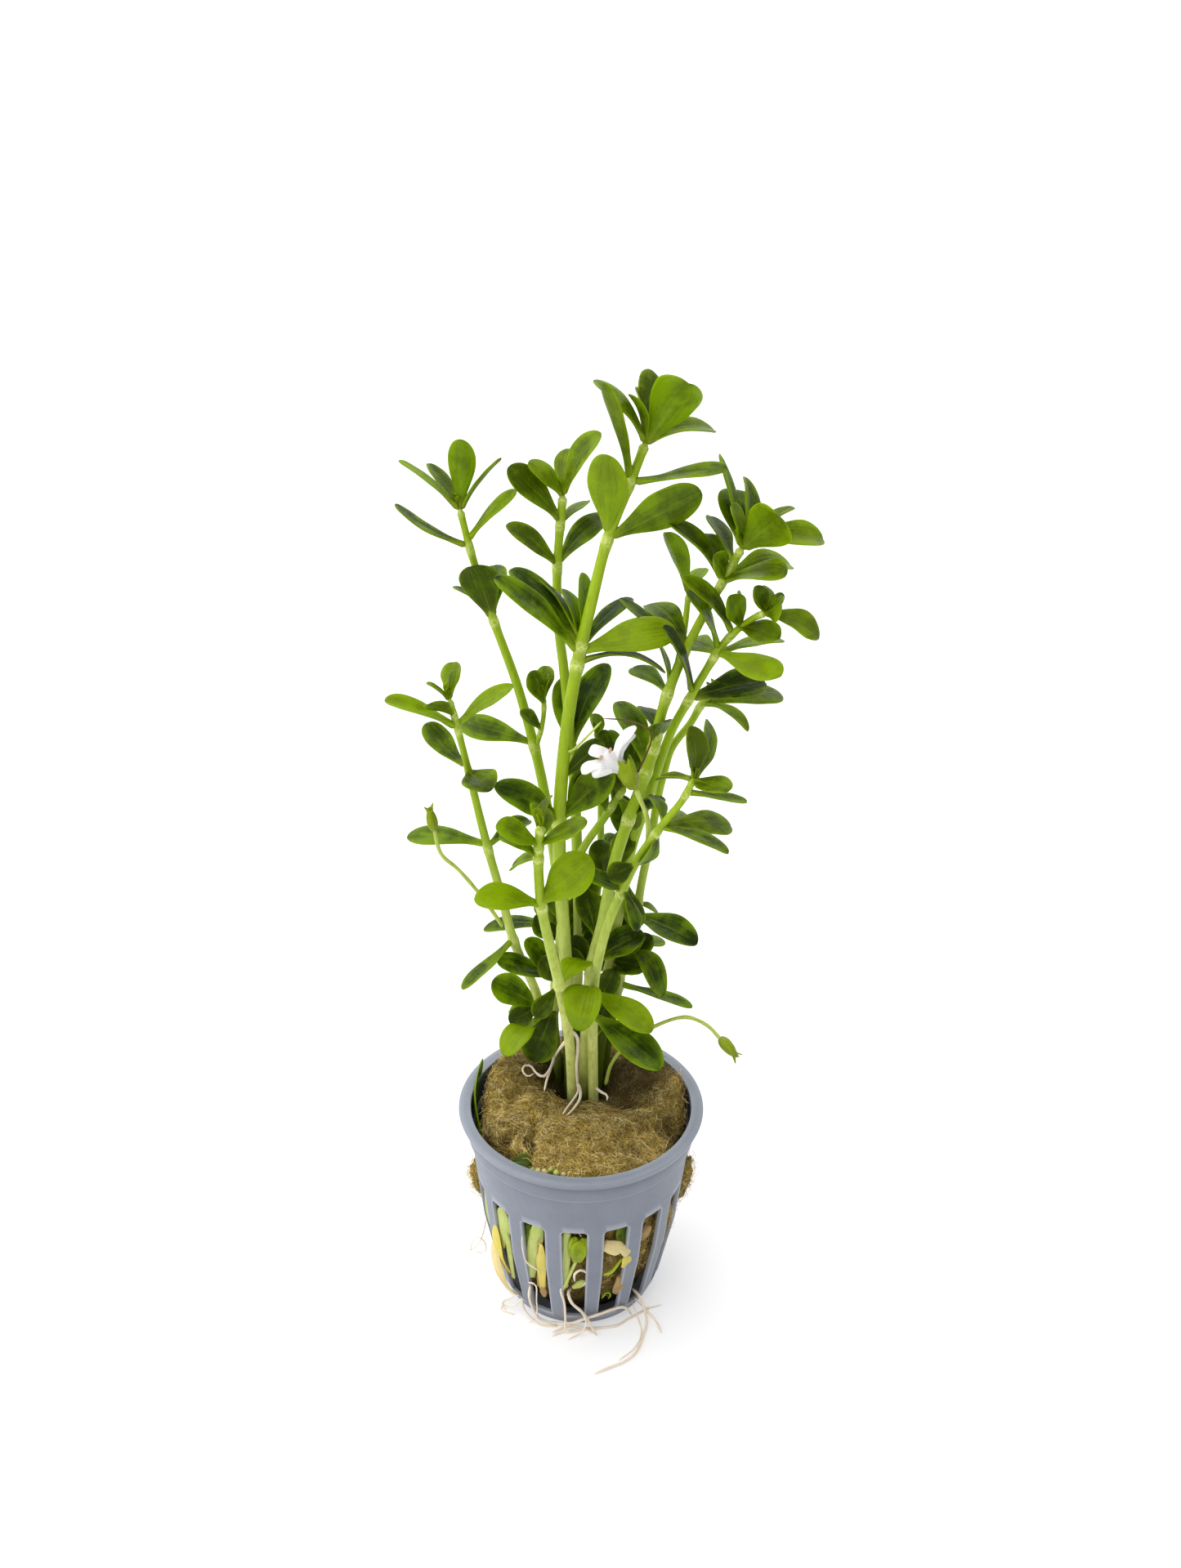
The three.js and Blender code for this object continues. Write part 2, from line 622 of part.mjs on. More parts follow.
// The point of a stem at a height, the way it grows there, and its radius.
function stemAt({ route, thick }, height) {
  const { curve, steps } = spineOf(route, STEM_STEP);
  const centres = curve.getSpacedPoints(steps);
  const above = centres.findIndex((centre) => centre.z >= height);
  const i = above < 1 ? steps : above;
  const [low, high] = [centres[i - 1], centres[i]];
  const last = 1 - TIP_SETBACK / low.distanceTo(high);
  const share = Math.min(i === steps ? last : 1, (height - low.z) / (high.z - low.z));
  return {
    point: low.clone().lerp(high, share),
    up: high.clone().sub(low).normalize(),
    radius: THREE.MathUtils.lerp(thick[0], thick[1], (i - 1 + share) / steps),
  };
}

// A shoot's small leaves join its stem, and its large ones are returned as blades of their own.
function growShoot(shoot) {
  const grown = [tube(shoot.route, shoot.thick, STEM_SIDES, STEM_STEP)];
  const own = [];
  for (const [height, ...form] of shoot.leaves) {
    const { point, up, radius } = stemAt(shoot, height);
    const [azimuth, rise, , length, width] = form;
    if (length * width < OWN_LEAF_AREA) {
      grown.push(blade(point, up, form, SMALL_BLADE_RINGS));
      continue;
    }
    const along = direction(azimuth, rise);
    const slant = Math.min(MOST_SLANT, 1 / along.clone().cross(up).length());
    const clear = radius * slant + OWN_LEAF_GAP;
    const shorter = [...form];
    shorter[3] = length - clear;
    own.push(blade(point.addScaledVector(along, clear), up, shorter));
  }
  return { grown, own };
}

function makeShoot(name, shoot) {
  const { grown, own } = growShoot(shoot);
  if (shoot.side) {
    const side = growShoot(shoot.side);
    grown.push(...side.grown);
    own.push(...side.own);
  }
  for (const root of shoot.roots ?? []) {
    grown.push(tube(root, ROOT_THICK, ROOT_SIDES, ROOT_STEP));
  }
  addPiece(`${name}_stem`, joined(grown), "stem");
  own.forEach((leaf, i) => addPiece(`${name}_leaf_${i + 1}`, solidOf(leaf), "leaf"));
}

function lathe(profile, sides) {
  return new THREE.LatheGeometry(
    profile.map(([radius, height]) => new THREE.Vector2(radius, height)),
    sides,
  ).rotateX(Math.PI / 2);
}

function slotAngle(slot) {
  return THREE.MathUtils.degToRad(FIRST_SLOT_ANGLE + (360 * slot) / SLOT_COUNT);
}

function slotCutter(slot) {
  const low = SLOT_WIDTH_BOTTOM / 2;
  const high = SLOT_WIDTH_TOP / 2;
  const outline = new THREE.Shape([
    new THREE.Vector2(-low, SLOT_BOTTOM),
    new THREE.Vector2(low, SLOT_BOTTOM),
    new THREE.Vector2(high, SLOT_TOP - SLOT_CORNER),
    new THREE.Vector2(high - SLOT_CORNER, SLOT_TOP),
    new THREE.Vector2(SLOT_CORNER - high, SLOT_TOP),
    new THREE.Vector2(-high, SLOT_TOP - SLOT_CORNER),
  ]);
  return new THREE.ExtrudeGeometry(outline, { depth: SLOT_CUT_DEPTH, bevelEnabled: false })
    .rotateX(Math.PI / 2)
    .translate(0, -SLOT_CUT_FROM, 0)
    .rotateZ(slotAngle(slot));
}

function makePot() {
  const inside = WALL.slice(1)
    .reverse()
    .map(([radius, height]) => [radius - WALL_THICKNESS, height]);
  const profile = [
    [0, 0],
    ...WALL,
    [RIM_RADIUS, POT_HEIGHT - LIP_DEPTH],
    [RIM_RADIUS, POT_HEIGHT - LIP_CHAMFER],
    [RIM_RADIUS - LIP_CHAMFER, POT_HEIGHT],
    [LIP_INNER_RADIUS, POT_HEIGHT],
    ...inside,
    [FLOOR_INNER_RADIUS, FLOOR_THICKNESS],
    [0, FLOOR_THICKNESS],
  ];
  let pot = solidOf(lathe(profile, WALL_SIDES));
  for (let slot = 0; slot < SLOT_COUNT; slot++) {
    pot = pot.subtract(solidOf(slotCutter(slot)));
  }
  addPiece("net_pot", pot, "pot", 0.6);
}

// The wool's upper face swells and sinks, and its edge is pushed in where there is a gap to the rim.
function shapeWool(geometry) {
  const place = geometry.attributes.position;
  for (let i = 0; i < place.count; i++) {
    let [x, y, z] = [place.getX(i), place.getY(i), place.getZ(i)];
    if (z >= WOOL_TOP) {
      for (const [cx, cy, radius, height] of WOOL_SWELLS) {
        z += height * Math.exp(-((x - cx) ** 2 + (y - cy) ** 2) / radius ** 2);
      }
    }
    const reach = Math.hypot(x, y);
    if (z > WALL[3][1] && reach > WELL_RADIUS) {
      for (const [cx, cy, radius, push] of WOOL_PINCHES) {
        const pull = push * Math.exp(-((x - cx) ** 2 + (y - cy) ** 2) / radius ** 2);
        x -= (pull * x) / reach;
        y -= (pull * y) / reach;
      }
    }
    place.setXYZ(i, x, y, z);
  }
  return geometry;
}

function woolTuft([slot, reach, middle, half]) {
  return new THREE.SphereGeometry(1, TUFT_SIDES, TUFT_SIDES)
    .rotateX(Math.PI / 2)
    .scale(TUFT_HALF_WIDTH, TUFT_HALF_DEPTH, half)
    .translate(0, TUFT_HALF_DEPTH - reach, middle)
    .rotateZ(slotAngle(slot));
}

function makeWool() {
  const mound = shapeWool(lathe(WOOL_PROFILE, WOOL_SIDES));
  const well = new THREE.CylinderGeometry(WELL_RADIUS, WELL_RADIUS - WELL_TAPER, WELL_CUT_HEIGHT, WELL_SIDES)
    .rotateX(Math.PI / 2)
    .translate(WELL_CENTRE[0], WELL_CENTRE[1], WELL_FLOOR + WELL_CUT_HEIGHT / 2);
  const wool = joined([mound, ...WOOL_TUFTS.map(woolTuft)]).subtract(solidOf(well));
  addPiece("rock_wool", wool, "wool", 1);
}

// A pointed oval between two points.
function oval(foot, tip, radius) {
  const axis = vector(tip).sub(vector(foot));
  const middle = vector(foot).add(vector(tip)).multiplyScalar(0.5);
  const upright = new THREE.Vector3(0, 1, 0);
  const turn = new THREE.Quaternion().setFromUnitVectors(upright, axis.clone().normalize());
  return new THREE.SphereGeometry(1, OVAL_SIDES, OVAL_RINGS)
    .scale(radius, axis.length() / 2, radius)
    .applyQuaternion(turn)
    .translate(middle.x, middle.y, middle.z);
}

function makeFlower() {
  const up = new THREE.Vector3(0, -1, 0);
  const petals = PETALS.map((form) => blade(vector(THROAT), up, form, SMALL_BLADE_RINGS));
  const throat = oval(COROLLA_TUBE.foot, COROLLA_TUBE.tip, COROLLA_TUBE.radius);
  addPiece("corolla", joined([...petals, throat]), "petal");
  const calyx = oval(CALYX_FOOT, CALYX_MOUTH, CALYX_RADIUS);
  const stalk = tube(FLOWER_STALK, FLOWER_STALK_THICK, ROOT_SIDES, ROOT_STEP);
  const dried = tube(DRIED_STALK, DRIED_STALK_THICK, ROOT_SIDES, ROOT_STEP);
  addPiece("calyx", joined([calyx, stalk, dried]), "calyx");
}

function makeBuds() {
  for (const [name, { stalk, foot, tip, radius }] of Object.entries(BUDS)) {
    const bud = oval(foot, tip, radius);
    const stem = tube(stalk, BUD_STALK_THICK, ROOT_SIDES, ROOT_STEP);
    addPiece(name, joined([bud, stem]), "calyx");
  }
}

function makeRoots() {
  for (const [name, routes] of Object.entries(LOW_ROOTS)) {
    const strands = routes.map((route) => tube(route, LOW_ROOT_THICK, ROOT_SIDES, LOW_ROOT_STEP));
    addPiece(name, joined(strands), "root");
  }
}

function makeOldLeaves() {
  const up = new THREE.Vector3(0, 0, 1);
  for (const [name, [foot, form, colour]] of Object.entries(OLD_LEAVES)) {
    addPiece(name, solidOf(blade(vector(foot), up, form)), colour);
  }
}

makePot();
makeWool();
for (const [name, shoot] of Object.entries(SHOOTS)) makeShoot(name, shoot);
makeFlower();
makeBuds();
makeRoots();
makeOldLeaves();

export default group;
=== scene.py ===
"""Potted moneywort: leafy shoots that stand in rock wool in a grey slotted net pot.

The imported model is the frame, in metres, with +Z up and -Y to the front. Sizes here are in millimetres,
and MM turns them into metres where a mesh is made.
"""

import logging
import random
from dataclasses import dataclass, field
from enum import Enum
from functools import partial
from math import acos, asin, atan2, cos, degrees, exp, hypot, pi, radians, sin, sqrt
from typing import Iterable, Optional, Sequence

import bmesh
import bpy
from bmesh.types import BMEdge, BMesh, BMFace, BMVert
from bpy.types import Material, Node, NodeSocket as Socket, NodeTree, Object
from mathutils import Matrix, Vector, noise


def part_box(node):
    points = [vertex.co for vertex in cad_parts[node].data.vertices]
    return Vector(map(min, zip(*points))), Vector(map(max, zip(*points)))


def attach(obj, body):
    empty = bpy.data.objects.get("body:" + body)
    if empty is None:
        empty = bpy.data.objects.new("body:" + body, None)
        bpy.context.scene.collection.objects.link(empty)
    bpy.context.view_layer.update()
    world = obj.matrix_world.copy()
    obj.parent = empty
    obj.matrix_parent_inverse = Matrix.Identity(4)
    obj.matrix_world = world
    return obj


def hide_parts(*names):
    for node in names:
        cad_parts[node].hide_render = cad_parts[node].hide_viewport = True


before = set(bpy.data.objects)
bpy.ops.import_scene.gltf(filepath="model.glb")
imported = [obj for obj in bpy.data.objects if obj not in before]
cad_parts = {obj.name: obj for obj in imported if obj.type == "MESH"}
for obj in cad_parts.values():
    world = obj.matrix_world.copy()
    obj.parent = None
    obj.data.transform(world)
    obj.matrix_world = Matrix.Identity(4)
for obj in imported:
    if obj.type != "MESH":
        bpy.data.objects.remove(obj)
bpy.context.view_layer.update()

MM = 0.001
BODY = "root"
LOOK = "Medium High Contrast"
log = logging.getLogger("moneywort")

Point = tuple[float, float, float]
Row = tuple[float, ...]
Pair = tuple[float, float]
Colour = tuple[float, float, float]

# The ring of slots in the net pot, which the wool pushes into: how many, and the azimuth of the front one.
SLOTS = 16
FIRST_SLOT = -92.4
SLOT_PITCH = 2 * pi / SLOTS

# Points of a spun section that lie closer together than this, in metres, become one.
MERGE_REACH = 1e-6


def smoothstep(low: float, high: float, value: float) -> float:
    """Rises smoothly from 0 to 1.

    Args:
        low: Value at which the rise starts.
        high: Value at which it is done.
        value: Where on it to look.

    Returns:
        A share from 0 to 1.
    """
    share = min(1.0, max(0.0, (value - low) / (high - low)))
    return share * share * (3 - 2 * share)


def bell(distance: float, reach: float) -> float:
    """A soft bump of height 1 at distance 0, gone by twice its reach."""
    return exp(-((distance / reach) ** 2))


def direction(azimuth: float, rise: float) -> Vector:
    """Unit vector for an azimuth, 0 to +X and -90 to the front, and a rise above level, in degrees."""
    turn, up = radians(azimuth), radians(rise)
    return Vector((cos(up) * cos(turn), cos(up) * sin(turn), sin(up)))


def bearing(way: Vector) -> Pair:
    """Azimuth and rise of a unit vector, in degrees."""
    return degrees(atan2(way.y, way.x)), degrees(asin(way.z))


def link_object(name: str, data: bpy.types.ID) -> Object:
    """Makes an object of some data and puts it into the scene.

    Args:
        name: Its name.
        data: Its mesh, camera or light.

    Returns:
        The object, at the origin.
    """
    made = bpy.data.objects.new(name, data)
    bpy.context.scene.collection.objects.link(made)
    return made


def spin_profile(bm: BMesh, profile: Sequence[Pair], steps: int) -> None:
    """Spins a half section about +Z into a closed surface.

    Args:
        bm: The mesh that it is made in.
        profile: Radius and height of its points in millimetres, from the axis and back to it.
        steps: Columns in the full turn.
    """
    run = [bm.verts.new((radius * MM, 0, z * MM)) for radius, z in profile]
    for low, high in zip(run, run[1:]):
        bm.edges.new((low, high))
    bmesh.ops.spin(bm, geom=bm.verts[:] + bm.edges[:], cent=(0, 0, 0), axis=(0, 0, 1), angle=2 * pi,
                   steps=steps, use_merge=True)
    bmesh.ops.remove_doubles(bm, verts=bm.verts[:], dist=MERGE_REACH)


class Spine:
    """The smooth line through a route's points, in metres."""

    SAMPLES = 10

    def __init__(self, route: Sequence[Point]) -> None:
        """Args:
            route: Points in millimetres, from foot to tip.
        """
        self.knots = [Vector(point) * MM for point in route]
        self.dense = [self._between(i, k / self.SAMPLES)
                      for i in range(len(self.knots) - 1) for k in range(self.SAMPLES)]
        self.dense.append(self.knots[-1].copy())
        self.reach = [0.0]
        for low, high in zip(self.dense, self.dense[1:]):
            self.reach.append(self.reach[-1] + (high - low).length)

    @property
    def length(self) -> float:
        """Length along the line."""
        return self.reach[-1]

    def _between(self, i: int, share: float) -> Vector:
        """A point of the centripetal spline between two knots.

        Args:
            i: The lower knot's number.
            share: How far it is to the next one, from 0 to 1.

        Returns:
            The point.
        """
        b, c = self.knots[i], self.knots[i + 1]
        a = self.knots[i - 1] if i else b * 2 - c
        d = self.knots[i + 2] if i + 2 < len(self.knots) else c * 2 - b
        before, here, after = ((q - p).length ** 0.5 for p, q in ((a, b), (b, c), (c, d)))
        leave = ((b - a) / before - (c - a) / (before + here) + (c - b) / here) * here
        arrive = ((c - b) / here - (d - b) / (here + after) + (d - c) / after) * here
        square, cube = share**2, share**3
        return (b * (2 * cube - 3 * square + 1) + leave * (cube - 2 * square + share)
                + c * (3 * square - 2 * cube) + arrive * (cube - square))

    def at(self, distance: float) -> tuple[Vector, Vector]:
        """The place and the way of the line.

        Args:
            distance: How far along it, in metres.

        Returns:
            The point, and the unit tangent there.
        """
        i = 1
        while i < len(self.reach) - 1 and self.reach[i] < distance:
            i += 1
        span = self.reach[i] - self.reach[i - 1]
        share = (distance - self.reach[i - 1]) / span
        tangent = (self.dense[i] - self.dense[i - 1]).normalized()
        return self.dense[i - 1].lerp(self.dense[i], share), tangent

    def distance_at_height(self, height: float) -> float:
        """How far along the line it first reaches a height.

        Args:
            height: The height in millimetres.

        Returns:
            The distance in metres, or the whole length if it stays lower.
        """
        for i, point in enumerate(self.dense):
            if i and point.z >= height * MM:
                low, high = self.dense[i - 1].z, point.z
                share = min(1.0, max(0.0, (height * MM - low) / max(high - low, 1e-9)))
                return self.reach[i - 1] + share * (self.reach[i] - self.reach[i - 1])
        return self.length


@dataclass
class Station:
    """One ring of a tube: where it is, its radius in millimetres, and the marks its finish reads."""

    point: Vector
    tangent: Vector
    radius: float
    marks: Point = (0.0, 0.0, 0.0)


@dataclass
class BladeForm:
    """How a blade lies and how large it is. Lengths are in millimetres and angles in degrees.

    arch, bow and nod bend it up, sideways and at its tip, each as a share of its length. fold closes its
    halves like a book and cup lifts its rims, as shares of its half width. curl brings its tip back under.
    """

    azimuth: float
    rise: float
    turn: float
    length: float
    width: float
    arch: float = 0.05
    widest: float = 0.68
    stalk: float = 0.2
    thickness: float = 0.62
    cup: float = 0.16
    fold: float = 0.0
    wave: float = 0.25
    twist: float = 0.0
    bow: float = 0.0
    nod: float = 0.0
    groove: float = 0.14
    point: float = 0.5
    curl: float = 0.0

    def half_width(self, along: float) -> float:
        """Half the blade's width.

        Args:
            along: Where on its length, from 0 to 1.

        Returns:
            The half width there in millimetres.
        """
        swell = 0.5 - 0.5 * cos(pi * min(along, self.widest) / self.widest)
        past = max(0.0, along - self.widest) / (1 - self.widest)
        full = self.stalk + (1 - self.stalk) * swell
        return self.width / 2 * full * max(0.0, 1 - past * past) ** self.point

    def body(self, along: float) -> float:
        """Its thickness along its middle, rounded at foot and tip, in millimetres."""
        ends = min(1.0, along / 0.02, (1 - along) / 0.05)
        return self.thickness * (1.5 - 0.75 * smoothstep(0.0, 0.35, along)) * sqrt(max(0.0, ends))

    def lift(self, across: float, along: float, upper: float, seed: float) -> float:
        """How far a point of the blade stands off its flat middle, in millimetres.

        Args:
            across: Its place across, from -1 to 1.
            along: Its place along, from 0 to 1.
            upper: 1 on the upper face, -1 on the lower one.
            seed: Shifts the waves of the rim.

        Returns:
            The height towards the upper face.
        """
        half = self.half_width(along)
        rise = upper * 0.5 * self.body(along) * sqrt(max(0.0, 1 - abs(across) ** 2.6))
        nodding = self.nod * max(0.0, along - 0.45) ** 2 * 3
        rise += self.length * (4 * self.arch * along * (1 - along) + nodding)
        rise += half * (self.cup * across * across + self.fold * (sqrt(across * across + 0.02) - 0.14))
        depth = 1.0 if upper > 0 else 0.7
        rise -= self.groove * bell(across, 0.1) * (1 - smoothstep(0.5, 0.95, along)) * depth
        ripple = noise.noise(Vector((across * 0.8 + seed, along * 2.6, seed * 1.7)))
        dimple = noise.noise(Vector((across * 1.7 + seed, along * 4.5 + 9, seed * 2.3)))
        return rise + self.wave * (ripple * abs(across) ** 1.5 * smoothstep(0.2, 0.6, along) + 0.22 * dimple)

    def side(self, across: float, along: float, seed: float) -> float:
        """How far a point of the blade stands sideways from its middle line.

        Args:
            across: Its place across, from -1 to 1.
            along: Its place along, from 0 to 1.
            seed: Shifts the unevenness of the rim.

        Returns:
            The distance in millimetres.
        """
        rim = 1 + 0.06 * noise.noise(Vector((seed * 3.1 + (1 if across > 0 else 5), along * 4.0, 0.0)))
        return across * self.half_width(along) * rim + self.bow * self.length * 4 * along * (1 - along)


class Modeller:
    """A mesh in the making, with the marks that the plant's finishes read at each vertex.

    blade holds how far across a blade a vertex is, from -1 to 1, how far along, and whether it is on the
    upper face. tint holds the piece's tone, which carries painted light and shade as well as its own
    lightness, its youth, and a mask for joints and scars.
    """

    BLADE_AROUND = 28
    BLADE_RINGS = 20
    RING_EASE = 1.5

    def __init__(self) -> None:
        """Starts an empty mesh."""
        self.bm = bmesh.new()
        self.blade_layer = self.bm.verts.layers.float_vector.new("blade")
        self.tint_layer = self.bm.verts.layers.float_vector.new("tint")

    def blade(self, foot: Vector, up: Vector, form: BladeForm, tone: float = 0.5, youth: float = 0.0,
              finish: int = 0, seed: float = 0.0, fine: bool = True) -> None:
        """Adds one fleshy blade.

        Args:
            foot: Where it leaves its stem, in metres.
            up: The way that its stem grows, which its upper face looks to before the turn.
            form: Its lie and size.
            tone: Its lightness, from 0 to 1, with painted light and shade in it.
            youth: 1 on a young blade at a tip, 0 on an old one.
            finish: Which of the piece's material slots it takes.
            seed: Shifts the waves of its rim.
            fine: False for a tiny blade, which has fewer faces.
        """
        along = direction(form.azimuth, form.rise)
        across = along.cross(up).normalized()
        face = across.cross(along)
        if face.dot(up) < 0:
            across.negate()
            face.negate()
        rings = self.BLADE_RINGS if fine else self.BLADE_RINGS // 2
        around = self.BLADE_AROUND if fine else self.BLADE_AROUND // 2
        made = bmesh.ops.create_uvsphere(self.bm, u_segments=around, v_segments=rings, radius=1)
        for vert in made["verts"]:
            x, y, z = vert.co
            t = 1 - (1 - acos(max(-1.0, min(1.0, z))) / pi) ** self.RING_EASE
            spread = hypot(x, y)
            c = x / spread if spread > 1e-6 else 0.0
            s = y / spread if spread > 1e-6 else 0.0
            angle = radians(form.turn + form.twist * (t - 0.3))
            side = across * cos(angle) + face * sin(angle)
            normal = face * cos(angle) - across * sin(angle)
            lift = form.lift(c, t, 1.0 if s >= 0 else -1.0, seed)
            run = t - form.curl * max(0.0, t - 0.6) ** 2
            vert.co = foot + (along * form.length * run + side * form.side(c, t, seed) + normal * lift) * MM
            vert[self.blade_layer] = (c, t, 0.5 + 0.5 * s)
            vert[self.tint_layer] = (tone, youth, 0.0)
        self.dress(made["verts"], finish)

    @staticmethod
    def dress(verts: Iterable[BMVert], finish: int) -> None:
        """Gives the faces around some vertices a material slot."""
        for face in {f for vert in verts for f in vert.link_faces}:
            face.material_index = finish

    def blade_to(self, foot: Point, tip: Point, facing: Vector, width: float, finish: int = 0,
                 tone: float = 0.5, seed: float = 0.0, **form: float) -> None:
        """Adds one blade that runs between two points.

        Args:
            foot: Where it starts, in millimetres.
            tip: Where it ends.
            facing: The way that its upper face looks.
            width: Its width.
            finish: Its material slot.
            tone: Its lightness, which on the inner leaves is painted shade.
            seed: Shifts the waves of its rim.
            **form: More of its form.
        """
        run = Vector(tip) - Vector(foot)
        lie = BladeForm(*bearing(run.normalized()), 0, run.length, width, **form)
        self.blade(Vector(foot) * MM, facing.normalized(), lie, tone, 0.1, finish, seed)

    def tube(self, stations: Sequence[Station], sides: int, finish: int = 0) -> None:
        """Adds a closed round tube through its stations.

        Args:
            stations: The rings, from foot to tip.
            sides: Corners of each ring.
            finish: Which of the piece's material slots it takes.
        """
        tangent = stations[0].tangent
        normal = tangent.orthogonal().normalized()
        faces: set = set()
        before: Optional[Matrix] = None
        verts: list = []
        edges: list = []
        first_edges: list = []
        for i, station in enumerate(stations):
            normal = tangent.rotation_difference(station.tangent) @ normal
            tangent = station.tangent
            binormal = tangent.cross(normal).normalized()
            radius = station.radius * MM
            place = Matrix.Translation(station.point) @ Matrix(
                (normal * radius, binormal * radius, tangent * radius)).transposed().to_4x4()
            if before is None:
                made = bmesh.ops.create_circle(self.bm, cap_ends=False, radius=1, segments=sides,
                                               matrix=place)
                verts = made["verts"]
                edges = list({e for v in verts for e in v.link_edges})
                first_edges = edges
            else:
                made = bmesh.ops.extrude_edge_only(self.bm, edges=edges)
                verts = [g for g in made["geom"] if isinstance(g, BMVert)]
                ring = set(verts)
                edges = [g for g in made["geom"]
                         if isinstance(g, BMEdge) and set(g.verts) <= ring]
                faces.update(g for g in made["geom"] if isinstance(g, BMFace))
                bmesh.ops.transform(self.bm, matrix=place @ before.inverted(), verts=verts)
            for vert in verts:
                vert[self.tint_layer] = station.marks
                vert[self.blade_layer] = (0.0, i / len(stations), 0.5)
            before = place
        for loop in (first_edges, edges):
            faces.update(bmesh.ops.edgeloop_fill(self.bm, edges=loop)["faces"])
        for face in faces:
            face.material_index = finish

    def piece(self, name: str, finishes: Sequence[Material]) -> Object:
        """Turns the mesh into an object.

        Args:
            name: The piece's name.
            finishes: Its materials, by slot.

        Returns:
            The object, smooth and with its faces pointing out.
        """
        bmesh.ops.recalc_face_normals(self.bm, faces=self.bm.faces[:])
        return place_piece(name, self.bm, finishes)


def place_piece(name: str, bm: BMesh, finishes: Sequence[Material],
                crease: float = 180.0) -> Object:
    """Puts a finished mesh into the scene.

    Args:
        name: The piece's name.
        bm: The mesh, which is freed.
        finishes: Its materials, by slot.
        crease: Edges sharper than this, in degrees, stay sharp in the shading.

    Returns:
        The new object, at the origin.
    """
    limit = radians(crease)
    for face in bm.faces:
        face.smooth = True
    for edge in bm.edges:
        edge.smooth = edge.calc_face_angle(0.0) < limit
    mesh = bpy.data.meshes.new(name)
    bm.to_mesh(mesh)
    bm.free()
    for finish in finishes:
        mesh.materials.append(finish)
    return link_object(name, mesh)


def register(piece: Object, nodes: Iterable[str] = ()) -> None:
    """Lets a piece ride on the body and stand for CAD nodes.

    Args:
        piece: The finished piece.
        nodes: CAD nodes that it replaces.
    """
    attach(piece, BODY)
    names = list(nodes)
    if names:
        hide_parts(*names)
    stands_for = ", ".join(names) or "no node"
    log.info("%s: %d faces, stands for %s", piece.name, len(piece.data.polygons), stands_for)


class Tree:
    """Short calls for writing a node tree."""

    def __init__(self, tree: NodeTree) -> None:
        """Wraps a node tree."""
        self.tree = tree

    def feed(self, socket: Socket, value: object) -> None:
        """Joins an input to another node's output, or sets it to a value.

        Args:
            socket: The input.
            value: The output socket or the value.
        """
        if isinstance(value, Socket):
            self.tree.links.new(value, socket)
        else:
            socket.default_value = value

    def node(self, kind: str, inputs: Optional[dict] = None, **settings: object) -> Node:
        """Adds a node.

        Args:
            kind: Its type's name.
            inputs: Values or output sockets by the input's name or number.
            **settings: Its own properties.

        Returns:
            The node.
        """
        made = self.tree.nodes.new(kind)
        for name, value in settings.items():
            setattr(made, name, value)
        for key, value in (inputs or {}).items():
            self.feed(made.inputs[key], value)
        return made

    def math(self, operation: str, a: object, b: object = 0.0, clamp: bool = False) -> Socket:
        """One sum of two values or sockets."""
        return self.node("ShaderNodeMath", {0: a, 1: b}, operation=operation, use_clamp=clamp).outputs[0]

    def times(self, a: object, b: object) -> Socket:
        """Two values or sockets multiplied."""
        return self.math("MULTIPLY", a, b)

    def plus(self, a: object, b: object, clamp: bool = False) -> Socket:
        """Two values or sockets added, held within 0 to 1 if clamped."""
        return self.math("ADD", a, b, clamp)

    def less(self, a: object, b: object, clamp: bool = False) -> Socket:
        """The first value or socket less the second, held within 0 to 1 if clamped."""
        return self.math("SUBTRACT", a, b, clamp)

    def ramp(self, value: Socket, low: float, high: float) -> Socket:
        """A value from low to high stretched over 0 to 1."""
        return self.node("ShaderNodeMapRange", {"Value": value, "From Min": low, "From Max": high},
                         interpolation_type="SMOOTHSTEP").outputs["Result"]

    def mix(self, share: object, a: object, b: object) -> Socket:
        """Two colours mixed, b by its share."""
        first, second = ((*colour, 1.0) if isinstance(colour, tuple) else colour for colour in (a, b))
        return self.node("ShaderNodeMix", {0: share, 6: first, 7: second}, data_type="RGBA").outputs[2]

    def noise(self, vector: Socket, scale: float, detail: float = 3.0, distortion: float = 0.0) -> Socket:
        """Soft noise of a size, in waves to the metre on Object coordinates."""
        return self.node("ShaderNodeTexNoise", {"Vector": vector, "Scale": scale, "Detail": detail,
                                                "Distortion": distortion}).outputs["Fac"]

    def scaled(self, vector: Socket, factors: Point) -> Socket:
        """A vector multiplied axis by axis."""
        return self.node("ShaderNodeVectorMath", {0: vector, 1: factors}, operation="MULTIPLY").outputs[0]

    def parts(self, vector: Socket) -> bpy.types.bpy_prop_collection:
        """The outputs X, Y and Z of a vector."""
        return self.node("ShaderNodeSeparateXYZ", {"Vector": vector}).outputs

    def attribute(self, name: str, output: str = "Vector") -> Socket:
        """A mark that the mesh holds at its vertices."""
        return self.node("ShaderNodeAttribute", attribute_name=name).outputs[output]

    def group(self, group: NodeTree, inputs: dict) -> bpy.types.bpy_prop_collection:
        """The outputs of a shared node group."""
        return self.node("ShaderNodeGroup", inputs, node_tree=group).outputs


def new_group(name: str, inputs: Sequence[tuple[str, str]],
              outputs: Sequence[str]) -> tuple[Tree, Node, Node]:
    """Starts a shared shader node group.

    Args:
        name: The group's name.
        inputs: Name and socket type of each input.
        outputs: Names of its outputs, each a value.

    Returns:
        Its tree, its input node and its output node.
    """
    tree = bpy.data.node_groups.new(name, "ShaderNodeTree")
    for label, kind in inputs:
        tree.interface.new_socket(name=label, in_out="INPUT", socket_type=kind)
    for label in outputs:
        tree.interface.new_socket(name=label, in_out="OUTPUT", socket_type="NodeSocketFloat")
    return Tree(tree), tree.nodes.new("NodeGroupInput"), tree.nodes.new("NodeGroupOutput")


